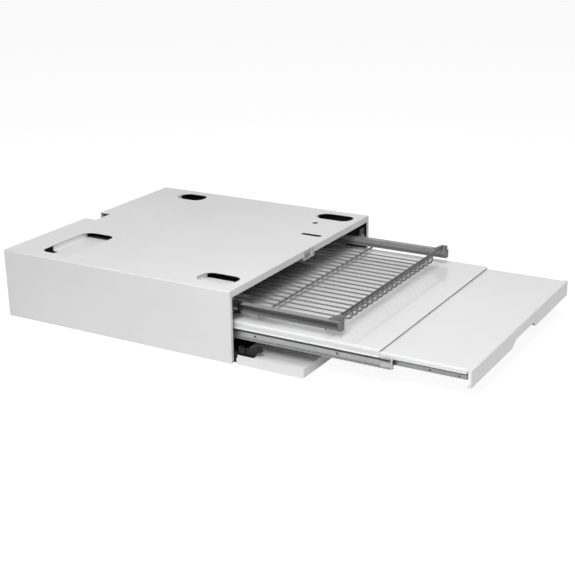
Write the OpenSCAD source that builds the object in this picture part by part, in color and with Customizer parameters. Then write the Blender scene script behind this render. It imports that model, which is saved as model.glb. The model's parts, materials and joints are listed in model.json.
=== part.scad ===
// Pull-out laundry shelf that stands between two stacked machines.
// Millimetres, +Z up, the front faces -Y. The origin is the middle of the casing's underside.
// Drawn pulled out as it stands in the photo: both trays and the wire rack out, the flap let down.

/* [Casing] */
// Width of the casing
casing_w = 595; // [575:5:635]
// Depth of the casing from its front edge to its back
casing_d = 576; // [568:4:620]
// Height of the casing
casing_h = 150; // [148:1:170]
// Thickness of the folded casing sheet
casing_t = 1.5; // [1.2:0.1:1.6]
// Height of the lip folded down at the front of the top
top_lip_h = 14; // [10:1:16]

/* [Foot pockets] */
// Depth of the pockets for the feet of the machine above
pocket_depth = 13; // [11:1:16]
// Corner radius of the pocket openings
pocket_r = 22; // [16:1:23]

/* [Shelf] */
// Travel of the rear tray out of the casing
rear_travel = 345; // [335:1:350]
// Travel of the front tray out of the rear tray
front_travel = 145; // [138:1:150]
// Thickness of the tray sheet
tray_t = 1.2; // [1:0.1:1.3]
// Height of the front tray's fascia
fascia_h = 33.4; // [30:0.2:35]

/* [Wire rack] */
// Travel of the wire rack
rack_travel = 220; // [205:5:225]
// Number of wires across the rack
wire_count = 18; // [14:1:24]
// Thickness of each wire
wire_d = 3; // [2.4:0.2:3.4]

/* [Flap] */
// Thickness of the flap that closes the front
flap_thick = 20; // [18:0.5:21]

/* [Hidden] */
$fn = 40;

// Sliver that a cutter reaches past the face it cuts
eps = 0.01;
// Planes that the rest is measured from
half_w = casing_w / 2;
front = -casing_d / 2;
back = casing_d / 2;
wall_in = half_w - casing_t;
press_gap = 0.02;
run_gap = 0.05;

// Casing folds and openings
fold_r = 3;
side_lip_w = 7.5;
back_lip_w = 14;
lip_notch_h = 5;
notch_x0 = -25;
notch_x1 = 30;
notch_depth = 30;
slot_x0 = 95;
slot_x1 = 107;
slot_y0 = 18;
slot_y1 = 68;
oblong_side = 110.5;
oblong_x = half_w - oblong_side;
oblong_y = 81;
oblong_l = 14;
oblong_w = 12;

// Base plate and back panel
base_lip_h = 20;
base_front_gap = 3;
base_front_lip_h = 10;
base_front_lip_inset = 58;
back_panel_t = 1;
back_panel_gap = 1.5;
back_rivet_r = 2;
back_rivet_head_r = 4;
back_rivet_top_r = 3;
back_rivet_shares = [0.3, 0.75];
back_rivet_head_h = 0.9;
back_rivet_side = 10;
back_rivet_side_x = half_w - back_rivet_side;
back_rivet_top_x = 180;

// Stiffener welded under the top
stiff_y0 = 408;
stiff_y1 = 532;
stiff_foot_w = 20;
stiff_h = 12;

// Foot pockets, openings first: distances from the side of the casing and from its front edge
pocket_side_fl = [30.5, 84.5];
pocket_side_fr = [25.5, 72.5];
pocket_side_rl = [30.5, 189.5];
pocket_side_rr = [25.5, 75.5];
pocket_x_fl = pocket_side_fl - [half_w, half_w];
pocket_y_fl = [20, 107];
pocket_x_fr = [half_w - pocket_side_fr[1], half_w - pocket_side_fr[0]];
pocket_y_fr = [18, 107];
pocket_x_rl = pocket_side_rl - [half_w, half_w];
pocket_y_rl = [420, 502];
pocket_x_rr = [half_w - pocket_side_rr[1], half_w - pocket_side_rr[0]];
pocket_y_rr = [425, 497];
pocket_floor_side = [43.5, 85.5];
pocket_floor_in = half_w - pocket_floor_side[1];
pocket_floor_out = half_w - pocket_floor_side[0];
pocket_long_side = 190.5;
pocket_long_in = half_w - pocket_long_side;
pocket_wall_room = 1.5;
pocket_foot_w = 9;
pocket_floor_notch = 11;
pocket_wall_side = 75.5;
pocket_wall_start = half_w - pocket_wall_side;
pocket_under_z = casing_h - pocket_depth - casing_t;
stiff_gap = 7;
stiff_half = pocket_long_in - stiff_gap;

// Catch for the flap, in the middle of the front lip
catch_x0 = -8;
catch_magnet_side = 3;
catch_x1 = 36;
catch_h = 22;
catch_depth = 24;
catch_lip_room = 0.4;
catch_ear = 12;
catch_ear_t = 4;
catch_screw_x = [-13, 25];
catch_screw_y = 15;
catch_screw_r = 1.9;
catch_screw_head_r = 3.6;
catch_screw_head_h = 2;
catch_magnet_w = 22;
catch_magnet_h = 9;
catch_magnet_d = 8;
catch_magnet_up = 4;

// Telescopic slides: distances from the middle of the casing
slide_bracket_depth = 8.8;
outer_t = 1.2;
outer_flange_w = 9.2;
mid_step = 1;
mid_out_flange_w = 5;
mid_out_t = 1.2;
mid_in_t = 1;
mid_in_flange_w = 13.8;
outer_web_out = wall_in - slide_bracket_depth;
outer_web_in = outer_web_out - outer_t;
outer_tip = outer_web_out - outer_flange_w;
mid_face = outer_tip - mid_step;
mid_out_tip = mid_face + mid_out_flange_w;
mid_joint = mid_face - mid_out_t;
mid_in_web = mid_joint - mid_in_t;
mid_in_tip = mid_joint - mid_in_flange_w;
inner_t = 1.2;
inner_sink = 4;
inner_face = mid_in_tip + inner_sink;
leg_gap = 0.6;
leg_out = mid_in_tip - leg_gap;
leg_in = leg_out - tray_t;
front_overhang = 8;
front_half = mid_in_tip + front_overhang;
rear_step = 2;
rear_half = front_half + rear_step;

// Telescopic slides: heights
slide_z = 58.75;
outer_half_h = 12.75;
mid_out_half_h = 8.25;
mid_in_half_h = 7.45;
inner_half_h = 4.25;
outer_ball_off = (outer_half_h - outer_t + mid_out_half_h) / 2;
inner_ball_off = (mid_in_half_h - mid_in_t + inner_half_h) / 2;
outer_ball_r = 1.35;
inner_ball_r = 0.8;

// Telescopic slides: places along the travel
closed_inset = 5;
rear_closed_inset = 38;
front_reach = rear_travel + front_travel - closed_inset;
rear_reach = rear_travel - rear_closed_inset;
fascia_y = front - front_reach;
rear_edge_y = front - rear_reach;
outer_setback = 4;
outer_y0 = front + outer_setback;
outer_len = 508;
mid_lead = 24;
mid_y0 = rear_edge_y - mid_lead;
mid_len = 496;
inner_setback = 11;
inner_y0 = fascia_y + inner_setback;
inner_len = 282;
outer_cage_setback = 10;
outer_cage_y0 = front + outer_cage_setback;
outer_cage_len = 150;
inner_cage_setback = 9;
inner_cage_y0 = mid_y0 + inner_cage_setback;
inner_cage_len = 117;
cage_out_t = 1;
cage_in_t = 0.6;
outer_cage_gap = 0.6;
outer_cage_web = mid_out_tip + outer_cage_gap;
outer_cage_reach = 3;
outer_cage_strip = mid_out_tip - outer_cage_reach;
outer_ball_inset = 1.5;
outer_ball_x = mid_out_tip - outer_ball_inset;
inner_cage_gap = 1;
inner_cage_web = inner_face + inner_cage_gap;
inner_cage_reach = 0.5;
inner_cage_strip = mid_in_tip + inner_cage_reach;
inner_ball_inset = 2;
inner_ball_x = inner_face - inner_ball_inset;
outer_ball_count = 6;
inner_ball_count = 5;

// Brackets between the casing side and the fixed slide member
hat_len = 30;
hat_foot_h = 8;
hat_t = 1.5;
hat_crown_half = 11;
hat_y = [60, 245, 430];
slide_screw_r = 2;
slide_screw_head_r = 3.8;
slide_screw_head_h = 1.2;

// Rivets of the middle slide member and its plastic end caps
mid_rivet_y = [110, 289, 451];
mid_rivet_r = 2;
mid_rivet_head_r = 3.4;
mid_rivet_head_h = 0.8;
cap_len = 24;
cap_front = 3;
cap_skin = 0.6;
cap_side_gap = 0.5;
cap_in = front_half + cap_side_gap;
cap_up = 3;
cap_down = 1.5;

// Trays
rear_tray_top = 80.5;
rear_tray_len = 480;
rear_tray_r = 5;
rear_tray_corner = 7;
rear_tray_back_lip = 9;
front_tray_top = 76.2;
front_tray_len = 295;
front_tray_r = 4;
front_edge_gap = 0.4;
front_tray_edge_z = slide_z + mid_in_half_h + front_edge_gap;
front_leg_z = 53;
side_relief = 11;
fascia_overhang = 3;
fascia_half = front_half + fascia_overhang;
fascia_return = 3;
fascia_r = 3;
fascia_hem = 8;
grip_x0 = -65;
grip_x1 = 71;
grip_top_x0 = -42;
grip_top_x1 = 55;
grip_h = 11.5;
grip_soft = 6;
grip_soft_drop = 2.2;
foot_z = slide_z + mid_in_half_h;
tray_rivet_shift = 0.05;
tray_rivet_x = (rear_half + mid_joint) / 2 - tray_rivet_shift;
tray_rivet_r = 0.9;
tray_rivet_head_r = 1.5;
tray_rivet_head_h = 0.9;
tray_rivet_y = [17, 177, 337, 457];
tray_rivet_tail = 0.6;
front_rivet_y = [14, 71, 277];
front_rivet_r = 1.6;
front_rivet_head_r = 2.4;
front_rivet_head_h = 0.8;

// Wire rack: distances from the middle
guide_inset = 38;
guide_out = half_w - guide_inset;
guide_t = 1.5;
guide_flange_w = 9.5;
guide_tip = guide_out - guide_flange_w;
guide_play = 2;
rail_out = guide_out - guide_t - guide_play;
rail_w = 14;
rail_in = rail_out - rail_w;
rail_t = 1.2;
wire_side_gap = 52;
wire_half_span = rail_in - wire_side_gap;
wire_pitch = 2 * wire_half_span / (wire_count - 1);
rod_play = 0.6;
rod_tip = guide_tip - rod_play;
rod_plug_head = 1.6;
cross_rod_half = rod_tip - rod_plug_head;
rod_plug_len = 6;
rod_bore_r = 1.5;
rod_seat = 5;
front_rod_half = rail_in + rod_seat;

// Wire rack: heights
// Share of the room between the rear tray and the pockets that lies under the rails
rack_room_share = 0.245;
rail_z = rear_tray_top + rack_room_share * (pocket_under_z - rear_tray_top);
rail_h = 17.5;
rail_top = rail_z + rail_h;
guide_lift = 1;
guide_head_room = 1.5;
guide_z = rail_z - guide_lift - guide_t;
guide_h = rail_h + guide_lift + guide_head_room + 2 * guide_t;
rod_r = 2.5;
cross_rod_z = rail_z - rod_r;
wire_z = cross_rod_z + rod_r + wire_d / 2;
front_rod_up = 8;
front_rod_z = rail_top + front_rod_up;
ear_top = front_rod_z + rod_r;

// Wire rack: places along the travel
rack_closed_inset = 2;
rack_cap_y = front + rack_closed_inset - rack_travel;
rack_cap_len = 5;
rack_plug_len = 2;
rack_plug_gap = 0.4;
rail_y0 = rack_cap_y + rack_cap_len;
rail_len = 463;
front_rod_back = 5;
rack_rod_y = rail_y0 + front_rod_back;
wire_bend_r = 9;
wire_back = 4;
ear_flat = 8;
ear_len = 27;
cross_rod_y = [31, 179, 327, 452];
guide_setback = 2;
guide_y0 = front + guide_setback;
guide_len = 470;

// Brackets that carry the rack guides
gb_t = 1.5;
gb_len = 34;
gb_y = [6.5, 225, 430];
gb_foot_inset = 3;
gb_head_inset = 1.5;
gb_z0 = guide_z + gb_foot_inset;
gb_z1 = guide_z + guide_h - gb_head_inset;
gb_drop = 9.5;
gb_drop_z = guide_z + gb_drop;
gb_plate_h = 24;
gb_high_z = gb_drop_z + gb_plate_h;
gb_plate_gap = 2.5;
gb_plate_in = guide_out + gb_plate_gap;
gb_plate_side = 9.5;
gb_rivet_shares = [[0.2, 0.3], [0.5, 0.65], [0.8, 0.3]];
gb_plate_out = half_w - gb_plate_side;
gb_rivet_r = 1.6;
gb_rivet_head_r = 2.6;
gb_rivet_head_h = 1;

// Flap, let down flat in front of the casing
flap_gap = 2.5;
flap_side_gap = 4.5;
flap_half = half_w - flap_side_gap;
flap_rear_gap = 8;
flap_len = casing_h;
flap_rear_y = front - flap_rear_gap;
flap_front_y = flap_rear_y - flap_len;
flap_t = 1.2;
flap_edge_r = 2.5;
flap_rear_lip = 13;
axis_z = (flap_thick - flap_rear_gap + flap_gap) / 2;
axis_y = flap_rear_y - axis_z;
flap_cut_w = 51.5;
flap_cut_in = half_w - flap_cut_w;
flap_cut_len = 37;
inner_hem = 8;

// Spring hinges of the flap
arm_side = 16.5;
arm_in = half_w - arm_side;
arm_w = 4;
leaf_gap = 0.5;
fixed_in = arm_in + arm_w + leaf_gap;
fixed_w = 3;
ear_in = fixed_in + fixed_w + leaf_gap;
ear_w = 2.3;
eye_gap = 0.35;
eye_r = axis_z - flap_t - eye_gap;
pin_r = 2.5;
pin_reach = 7;
pin_in = arm_in - pin_reach;
pin_head_r = 3.6;
pin_head_w = 1;
arm_outline = [[-8, 0], [5, 0.8], [5, 11], [7, 27], [3, 35], [-8, 32], [-24, 35],
    [-38, 40], [-46, 39], [-46, 32], [-34, 25], [-29.5, 19], [-27, 0]];
ear_outline = [[-8, 0], [5, 0.8], [5, 11], [-5, 13], [-40, 5], [-40, 0]];
arm_foot_t = 3;
arm_foot_y0 = 24;
arm_foot_y1 = 72;
arm_foot_in = 9;
boss_r = 3.2;
boss_w = 3;
boss_yz = [[2.25, 34], [-6.75, 27], [-37, 36]];
fixed_len = 56;
hinge_screw_drop = 6;
hinge_screw_shares = [0.25, 0.75];
fixed_base_h = 30;
fixed_base_z = 3;
fixed_front_gap = 6;
arm_clear = 0.5;
spring_wire_r = 0.8;
spring_turns = 2;
spring_r = pin_r + run_gap + spring_wire_r;
spring_leg = 24;
hinge_screw_r = 2;
hinge_screw_head_r = 3.8;
hinge_screw_head_h = 1.6;
hinge_screw_drill = 12;
arm_screw_r = 1.8;
arm_screw_head_r = 3.2;
arm_screw_head_h = 1.6;
strike_w = 44;
strike_l = 18;
strike_t = 1;
strike_x = 14;
strike_inset = 3;
arm_screw_side = 5;
arm_screw_x = arm_in - arm_screw_side;
arm_screw_back = [38, 62];
arm_screw_y = [for (d = arm_screw_back) axis_y - d];

// Shades used for the drawing
white = [0.93, 0.93, 0.93];
steel = [0.72, 0.72, 0.73];
grey = [0.5, 0.5, 0.52];
black = [0.08, 0.08, 0.09];
dark = [0.22, 0.22, 0.23];
pale = [0.75, 0.75, 0.76];

// A block between two opposite corners.
module block(lo, hi) {
    translate(lo)
        cube(hi - lo);
}

// The same part on the other side of the casing.
module right() {
    mirror([1, 0, 0])
        children();
}

// A flat outline in X and Z, drawn out between two places along Y.
module along_y(y0, y1) {
    translate([0, y1, 0])
        rotate([90, 0, 0])
            linear_extrude(y1 - y0)
                children();
}

// A flat outline in Y and Z, drawn out between two places along X.
module along_x(x0, x1) {
    translate([x0, 0, 0])
        rotate([90, 0, 90])
            linear_extrude(x1 - x0)
                children();
}

// A round bar along X, Y or Z between two places.
module bar_x(r, x0, x1, y, z) {
    translate([x0, y, z])
        rotate([0, 90, 0])
            cylinder(r = r, h = x1 - x0);
}

module bar_y(r, y0, y1, x, z) {
    translate([x, y1, z])
        rotate([90, 0, 0])
            cylinder(r = r, h = y1 - y0);
}

module bar_z(r, z0, z1, x, y) {
    translate([x, y, z0])
        cylinder(r = r, h = z1 - z0);
}

// Outline with its two upper corners rounded, standing on its lower edge.
module arch(half, h, r) {
    translate([-half, 0])
        square([2 * half, h - r]);
    translate([r - half, 0])
        square([2 * (half - r), h]);
    for (s = [-1, 1])
        translate([s * (half - r), h - r])
            circle(r);
}

// Outline of a folded sheet: an arch without its inside.
module sheet_arch(half, h, r, t) {
    difference() {
        arch(half, h, r);
        translate([0, -eps])
            arch(half - t, h - t + eps, r - t);
    }
}

// Rounded rectangle between two corners.
module round_rect(x0, x1, y0, y1, r) {
    translate([x0 + r, y0])
        square([x1 - x0 - 2 * r, y1 - y0]);
    translate([x0, y0 + r])
        square([x1 - x0, y1 - y0 - 2 * r]);
    for (x = [x0 + r, x1 - r])
        for (y = [y0 + r, y1 - r])
            translate([x, y])
                circle(r);
}

// Opening through the top sheet, places along Y counted from the front edge.
module top_hole(xs, ys, r) {
    translate([0, front, casing_h - casing_t - eps])
        linear_extrude(casing_t + 2 * eps)
            round_rect(xs[0], xs[1], ys[0], ys[1], r);
}

// ---- Casing ----

module casing_shell() {
    color(white)
        difference() {
            union() {
                along_y(front, back)
                    sheet_arch(half_w, casing_h, fold_r, casing_t);
                casing_lip(front, side_lip_w, top_lip_h, lip_notch_h);
                casing_lip(back - casing_t, back_lip_w, back_lip_w, 0);
            }
            block([notch_x0, back - notch_depth, casing_h - back_lip_w - eps],
                [notch_x1, back + eps, casing_h + eps]);
            block([catch_x0 - catch_lip_room, front - eps, casing_h - top_lip_h - eps],
                [catch_x1 + catch_lip_room, front + casing_t + eps, casing_h - casing_t]);
            top_hole(pocket_x_fl, pocket_y_fl, pocket_r);
            top_hole(pocket_x_fr, pocket_y_fr, pocket_r);
            top_hole(pocket_x_rl, pocket_y_rl, pocket_r);
            top_hole(pocket_x_rr, pocket_y_rr, pocket_r);
            top_hole([slot_x0, slot_x1], [slot_y0, slot_y1], (slot_x1 - slot_x0) / 2 - eps);
            top_hole([oblong_x - oblong_l / 2, oblong_x + oblong_l / 2],
                [oblong_y - oblong_w / 2, oblong_y + oblong_w / 2], oblong_w / 2 - eps);
            for (x = catch_screw_x)
                bar_z(catch_screw_r + run_gap, casing_h - 2 * casing_t, casing_h + eps,
                    x, front + catch_screw_y);
            back_rivet_places()
                rotate([90, 0, 0])
                    cylinder(r = back_rivet_r + run_gap, h = 2 * casing_t, center = true);
        }
}

// Lip folded in all round an open end of the casing, clear of the underside by cut_h.
module casing_lip(y0, side_w, top_h, cut_h) {
    along_y(y0, y0 + casing_t)
        difference() {
            arch(half_w - eps, casing_h - eps, fold_r);
            translate([side_w - half_w, -eps])
                square([2 * (half_w - side_w), casing_h - top_h + eps]);
            translate([-wall_in, -eps])
                square([2 * wall_in, cut_h + eps]);
        }
}

module base_plate() {
    y0 = front + base_front_gap;
    y1 = back - casing_t;
    color(white)
        difference() {
            union() {
                block([-wall_in, y0, 0], [wall_in, y1, casing_t]);
                for (s = [0, 1])
                    mirror([s, 0, 0])
                        block([-wall_in, y0, 0], [casing_t - wall_in, y1, base_lip_h]);
                block([-wall_in, y1 - casing_t, 0], [wall_in, y1, base_lip_h]);
                block([base_front_lip_inset - half_w, y0, 0],
                    [half_w - base_front_lip_inset, y0 + casing_t, base_front_lip_h]);
            }
            for (s = [0, 1])
                mirror([s, 0, 0])
                    hinge_screw_places()
                        translate([0, 0, fixed_in - wall_in - eps])
                            cylinder(r = hinge_screw_r + press_gap, h = hinge_screw_drill);
        }
}

module back_panel() {
    y1 = back - casing_t;
    color(white)
        difference() {
            block([back_panel_gap - wall_in, y1 - back_panel_t, base_lip_h + back_panel_gap],
                [wall_in - back_panel_gap, y1, casing_h - casing_t - back_panel_gap]);
            block([notch_x0, back - notch_depth, casing_h - back_lip_w - eps],
                [notch_x1, back + eps, casing_h + eps]);
            back_rivet_places()
                rotate([90, 0, 0])
                    cylinder(r = back_rivet_r + run_gap, h = 6 * casing_t, center = true);
        }
}

// Three rivets on each side of the back and two along its top.
module back_rivet_places() {
    for (s = [-1, 1]) {
        for (f = back_rivet_shares)
            translate([s * back_rivet_side_x, back, f * casing_h])
                children();
        translate([s * back_rivet_top_x, back, casing_h - back_lip_w / 2])
            children();
    }
}

module back_rivets() {
    color(steel)
        back_rivet_places()
            rotate([90, 0, 0]) {
                translate([0, 0, -back_rivet_head_h])
                    cylinder(r = back_rivet_head_r, h = back_rivet_head_h);
                cylinder(r = back_rivet_r, h = casing_t + back_panel_t);
                translate([0, 0, casing_t + back_panel_t])
                    cylinder(r = back_rivet_top_r, h = back_rivet_head_h);
            }
}

module top_stiffener() {
    z1 = casing_h - casing_t;
    y0 = front + stiff_y0;
    y1 = front + stiff_y1;
    color(white)
        along_x(-stiff_half, stiff_half) {
            for (y = [y0, y1 - stiff_foot_w])
                translate([y, z1 - casing_t])
                    square([stiff_foot_w, casing_t]);
            for (y = [y0 + stiff_foot_w - casing_t, y1 - stiff_foot_w])
                translate([y, z1 - stiff_h])
                    square([casing_t, stiff_h]);
            translate([y0 + stiff_foot_w - casing_t, z1 - stiff_h])
                square([y1 - y0 - 2 * (stiff_foot_w - casing_t), casing_t]);
        }
}

// Folded bracket under one opening: a floor, two end walls and their welded feet.
module pocket(x0, x1, ys) {
    z1 = casing_h - casing_t;
    z0 = casing_h - pocket_depth - casing_t;
    y0 = front + ys[0] - pocket_wall_room - casing_t;
    y1 = front + ys[1] + pocket_wall_room + casing_t;
    color(white)
        along_x(x0, x1) {
            translate([y0, z0])
                square([y1 - y0, casing_t]);
            for (y = [y0, y1 - casing_t])
                translate([y, z0])
                    square([casing_t, z1 - z0]);
            translate([y0 - pocket_foot_w, z1 - casing_t])
                square([pocket_foot_w + casing_t, casing_t]);
            translate([y1 - casing_t, z1 - casing_t])
                square([pocket_foot_w + casing_t, casing_t]);
        }
}

module pocket_front_left() {
    pocket(-pocket_floor_out, -pocket_floor_in, pocket_y_fl);
}

module pocket_front_right() {
    pocket(pocket_floor_in, pocket_floor_out, pocket_y_fr);
}

module pocket_rear_left() {
    cut_y = front + pocket_y_rl[1] - pocket_floor_notch;
    difference() {
        pocket(-pocket_floor_out, -pocket_long_in, pocket_y_rl);
        block([-pocket_floor_out - eps, cut_y, casing_h - pocket_depth - 2 * casing_t],
            [-pocket_wall_start, front + pocket_y_rl[1] + pocket_floor_notch, casing_h]);
    }
}

module pocket_rear_right() {
    pocket(pocket_floor_in, pocket_floor_out, pocket_y_rr);
}

// ---- Catch ----

module flap_catch() {
    z1 = casing_h - casing_t;
    y0 = front + eps;
    color(pale)
        difference() {
            union() {
                block([catch_x0, y0, casing_h - catch_h], [catch_x1, y0 + catch_depth, z1]);
                block([catch_x0 - catch_ear, y0 + casing_t + catch_lip_room, z1 - catch_ear_t],
                    [catch_x0 + eps, y0 + catch_depth, z1]);
            }
            catch_magnet_room(press_gap);
            for (x = catch_screw_x) {
                bar_z(catch_screw_r + press_gap, casing_h - catch_h - eps, casing_h,
                    x, front + catch_screw_y);
                bar_z(catch_screw_head_r + press_gap, casing_h - catch_h - eps,
                    z1 - catch_ear_t, x, front + catch_screw_y);
            }
        }
}

// Room for the magnet, open to the front.
module catch_magnet_room(gap) {
    x0 = catch_x0 + catch_magnet_side;
    z0 = casing_h - catch_h + catch_magnet_up;
    block([x0 - gap, front - gap, z0 - gap],
        [x0 + catch_magnet_w + gap, front + catch_magnet_d + gap, z0 + catch_magnet_h + gap]);
}

module catch_magnet() {
    color(grey)
        intersection() {
            catch_magnet_room(0);
            block([-half_w, front + eps, 0], [half_w, back, casing_h]);
        }
}

module catch_screws() {
    z1 = casing_h - casing_t;
    color(steel)
        for (x = catch_screw_x) {
            bar_z(catch_screw_r, z1 - catch_ear_t, casing_h - casing_t / 2,
                x, front + catch_screw_y);
            bar_z(catch_screw_head_r, z1 - catch_ear_t - catch_screw_head_h, z1 - catch_ear_t,
                x, front + catch_screw_y);
        }
}

// ---- Fixed slide members ----

// Left-hand brackets between the casing side and the slide.
module slide_hats() {
    color(steel)
        for (y = hat_y)
            difference() {
                along_y(front + y, front + y + hat_len) {
                    for (s = [-1, 1]) {
                        z_foot = slide_z + s * (hat_crown_half + hat_foot_h / 2 - hat_t / 2);
                        translate([-wall_in, z_foot - hat_foot_h / 2])
                            square([hat_t, hat_foot_h]);
                        z_side = slide_z + s * (hat_crown_half - hat_t / 2);
                        translate([-wall_in, z_side - hat_t / 2])
                            square([slide_bracket_depth, hat_t]);
                    }
                    translate([-outer_web_out - hat_t, slide_z - hat_crown_half])
                        square([hat_t, 2 * hat_crown_half]);
                }
                bar_x(slide_screw_r + press_gap, -wall_in, -outer_web_in,
                    front + y + hat_len / 2, slide_z);
            }
}

module slide_brackets() {
    slide_hats();
    right()
        slide_hats();
}

// Left-hand fixed member: a channel open towards the middle.
module slide_outer() {
    color(steel)
        difference() {
            along_y(outer_y0, outer_y0 + outer_len)
                difference() {
                    translate([-outer_web_out, slide_z - outer_half_h])
                        square([outer_flange_w, 2 * outer_half_h]);
                    translate([-outer_web_in, slide_z - outer_half_h + outer_t])
                        square([outer_flange_w, 2 * (outer_half_h - outer_t)]);
                }
            for (y = hat_y)
                bar_x(slide_screw_r + press_gap, -wall_in, -outer_web_in + outer_t,
                    front + y + hat_len / 2, slide_z);
        }
}

module slide_outer_left() {
    slide_outer();
}

module slide_outer_right() {
    right()
        slide_outer();
}

module slide_screws() {
    color(steel)
        for (s = [0, 1])
            mirror([s, 0, 0])
                for (y = hat_y) {
                    bar_x(slide_screw_r, -outer_web_out - 2 * hat_t, -outer_web_in,
                        front + y + hat_len / 2, slide_z);
                    bar_x(slide_screw_head_r, -outer_web_in,
                        slide_screw_head_h - outer_web_in, front + y + hat_len / 2, slide_z);
                }
}

// ---- Middle slide members, carried with the rear tray ----

module mid_rivet_places() {
    for (y = mid_rivet_y)
        translate([-mid_joint, mid_y0 + y, slide_z])
            rotate([0, 90, 0])
                children();
}

// Left-hand outboard channel of the middle member.
module slide_mid_outer() {
    color(steel)
        difference() {
            along_y(mid_y0, mid_y0 + mid_len)
                difference() {
                    translate([-mid_out_tip, slide_z - mid_out_half_h])
                        square([mid_out_tip - mid_joint, 2 * mid_out_half_h]);
                    translate([-mid_out_tip - eps, slide_z - mid_out_half_h + mid_out_t])
                        square([mid_out_flange_w + eps, 2 * (mid_out_half_h - mid_out_t)]);
                }
            mid_rivet_places()
                cylinder(r = mid_rivet_r + press_gap, h = 4 * mid_out_t, center = true);
        }
}

module slide_mid_outer_left() {
    slide_mid_outer();
}

module slide_mid_outer_right() {
    right()
        slide_mid_outer();
}

// Left-hand inboard channel of the middle member.
module slide_mid_inner() {
    color(steel)
        difference() {
            along_y(mid_y0, mid_y0 + mid_len)
                difference() {
                    translate([-mid_joint, slide_z - mid_in_half_h])
                        square([mid_in_flange_w, 2 * mid_in_half_h]);
                    translate([-mid_in_web, slide_z - mid_in_half_h + mid_in_t])
                        square([mid_in_flange_w, 2 * (mid_in_half_h - mid_in_t)]);
                }
            mid_rivet_places()
                cylinder(r = mid_rivet_r + press_gap, h = 4 * mid_out_t, center = true);
            for (y = tray_rivet_y)
                bar_z(tray_rivet_r + press_gap, slide_z, foot_z + eps,
                    -tray_rivet_x, rear_edge_y + y);
        }
}

module slide_mid_inner_left() {
    slide_mid_inner();
}

module slide_mid_inner_right() {
    right()
        slide_mid_inner();
}

module slide_mid_rivets() {
    color(steel)
        for (s = [0, 1])
            mirror([s, 0, 0])
                mid_rivet_places() {
                    translate([0, 0, -mid_out_t])
                        cylinder(r = mid_rivet_r, h = mid_out_t + mid_in_t);
                    translate([0, 0, -mid_out_t - mid_rivet_head_h])
                        cylinder(r = mid_rivet_head_r, h = mid_rivet_head_h);
                    translate([0, 0, mid_in_t])
                        cylinder(r = mid_rivet_head_r, h = mid_rivet_head_h);
                }
}

// Plastic caps that stop the middle members at their front ends.
module slide_end_caps() {
    y0 = mid_y0 - cap_front;
    color(pale)
        for (s = [0, 1])
            mirror([s, 0, 0])
                difference() {
                    block([-mid_face - cap_skin, y0, slide_z - mid_out_half_h - cap_down],
                        [-cap_in, y0 + cap_len, slide_z + mid_out_half_h + cap_up]);
                    block([-mid_face, mid_y0, slide_z - mid_out_half_h],
                        [-mid_joint, y0 + cap_len + eps, slide_z + mid_out_half_h]);
                    block([-mid_joint - eps, y0 - eps, slide_z - mid_in_half_h],
                        [-mid_in_tip, y0 + cap_len + eps, slide_z + mid_in_half_h]);
                    block([-mid_out_tip, mid_y0, slide_z - mid_out_half_h],
                        [-mid_face, y0 + cap_len + eps, slide_z - mid_out_half_h + mid_out_t]);
                    block([-mid_out_tip, mid_y0, slide_z + mid_out_half_h - mid_out_t],
                        [-mid_face, y0 + cap_len + eps, slide_z + mid_out_half_h]);
                }
}

// ---- Trays ----

module rear_tray() {
    y1 = rear_edge_y + rear_tray_len;
    h = rear_tray_top - foot_z;
    color(white)
        difference() {
            union() {
                translate([0, 0, foot_z])
                    along_y(rear_edge_y, y1) {
                        sheet_arch(rear_half, h, rear_tray_r, tray_t);
                        for (s = [0, 1])
                            mirror([s, 0])
                                translate([-mid_joint, 0])
                                    square([mid_joint - rear_half + tray_t, tray_t]);
                    }
                block([rear_tray_r - rear_half, y1 - tray_t, rear_tray_top - rear_tray_back_lip],
                    [rear_half - rear_tray_r, y1, rear_tray_top - tray_t / 2]);
            }
            for (s = [0, 1])
                mirror([s, 0, 0]) {
                    corner_cut(-rear_half, rear_edge_y, rear_tray_corner);
                    for (y = tray_rivet_y)
                        bar_z(tray_rivet_r + press_gap, slide_z, foot_z + tray_t + eps,
                            -tray_rivet_x, rear_edge_y + y);
                }
        }
}

// What a rounded corner takes off the rear tray, seen from above.
module corner_cut(x, y, r) {
    translate([x, y, slide_z])
        linear_extrude(rear_tray_top)
            difference() {
                translate([-eps, -eps])
                    square([r + eps, r + eps]);
                translate([r, r])
                    circle(r);
            }
}

module rear_tray_rivets() {
    color(steel)
        for (s = [0, 1])
            mirror([s, 0, 0])
                for (y = tray_rivet_y) {
                    bar_z(tray_rivet_r, foot_z - mid_in_t - tray_rivet_tail, foot_z + tray_t,
                        -tray_rivet_x, rear_edge_y + y);
                    bar_z(tray_rivet_head_r, foot_z + tray_t, foot_z + tray_t + tray_rivet_head_h,
                        -tray_rivet_x, rear_edge_y + y);
                }
}

module front_tray() {
    y_side = fascia_y + side_relief;
    y1 = fascia_y + front_tray_len;
    h = front_tray_top - front_tray_edge_z;
    color(white)
        difference() {
            union() {
                translate([0, 0, front_tray_edge_z])
                    along_y(y_side, y1) {
                        sheet_arch(front_half, h, front_tray_r, tray_t);
                        for (s = [0, 1])
                            mirror([s, 0]) {
                                translate([-front_half, 0])
                                    square([front_half - leg_in, tray_t]);
                                translate([-leg_out, front_leg_z - front_tray_edge_z])
                                    square([tray_t, front_tray_edge_z - front_leg_z + tray_t]);
                            }
                    }
                block([front_tray_r - front_half, fascia_y + fascia_r, front_tray_top - tray_t],
                    [front_half - front_tray_r, y_side + eps, front_tray_top]);
                fascia();
            }
            front_rivet_places()
                cylinder(r = front_rivet_r + press_gap, h = 4 * front_tray_r, center = true);
        }
}

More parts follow.
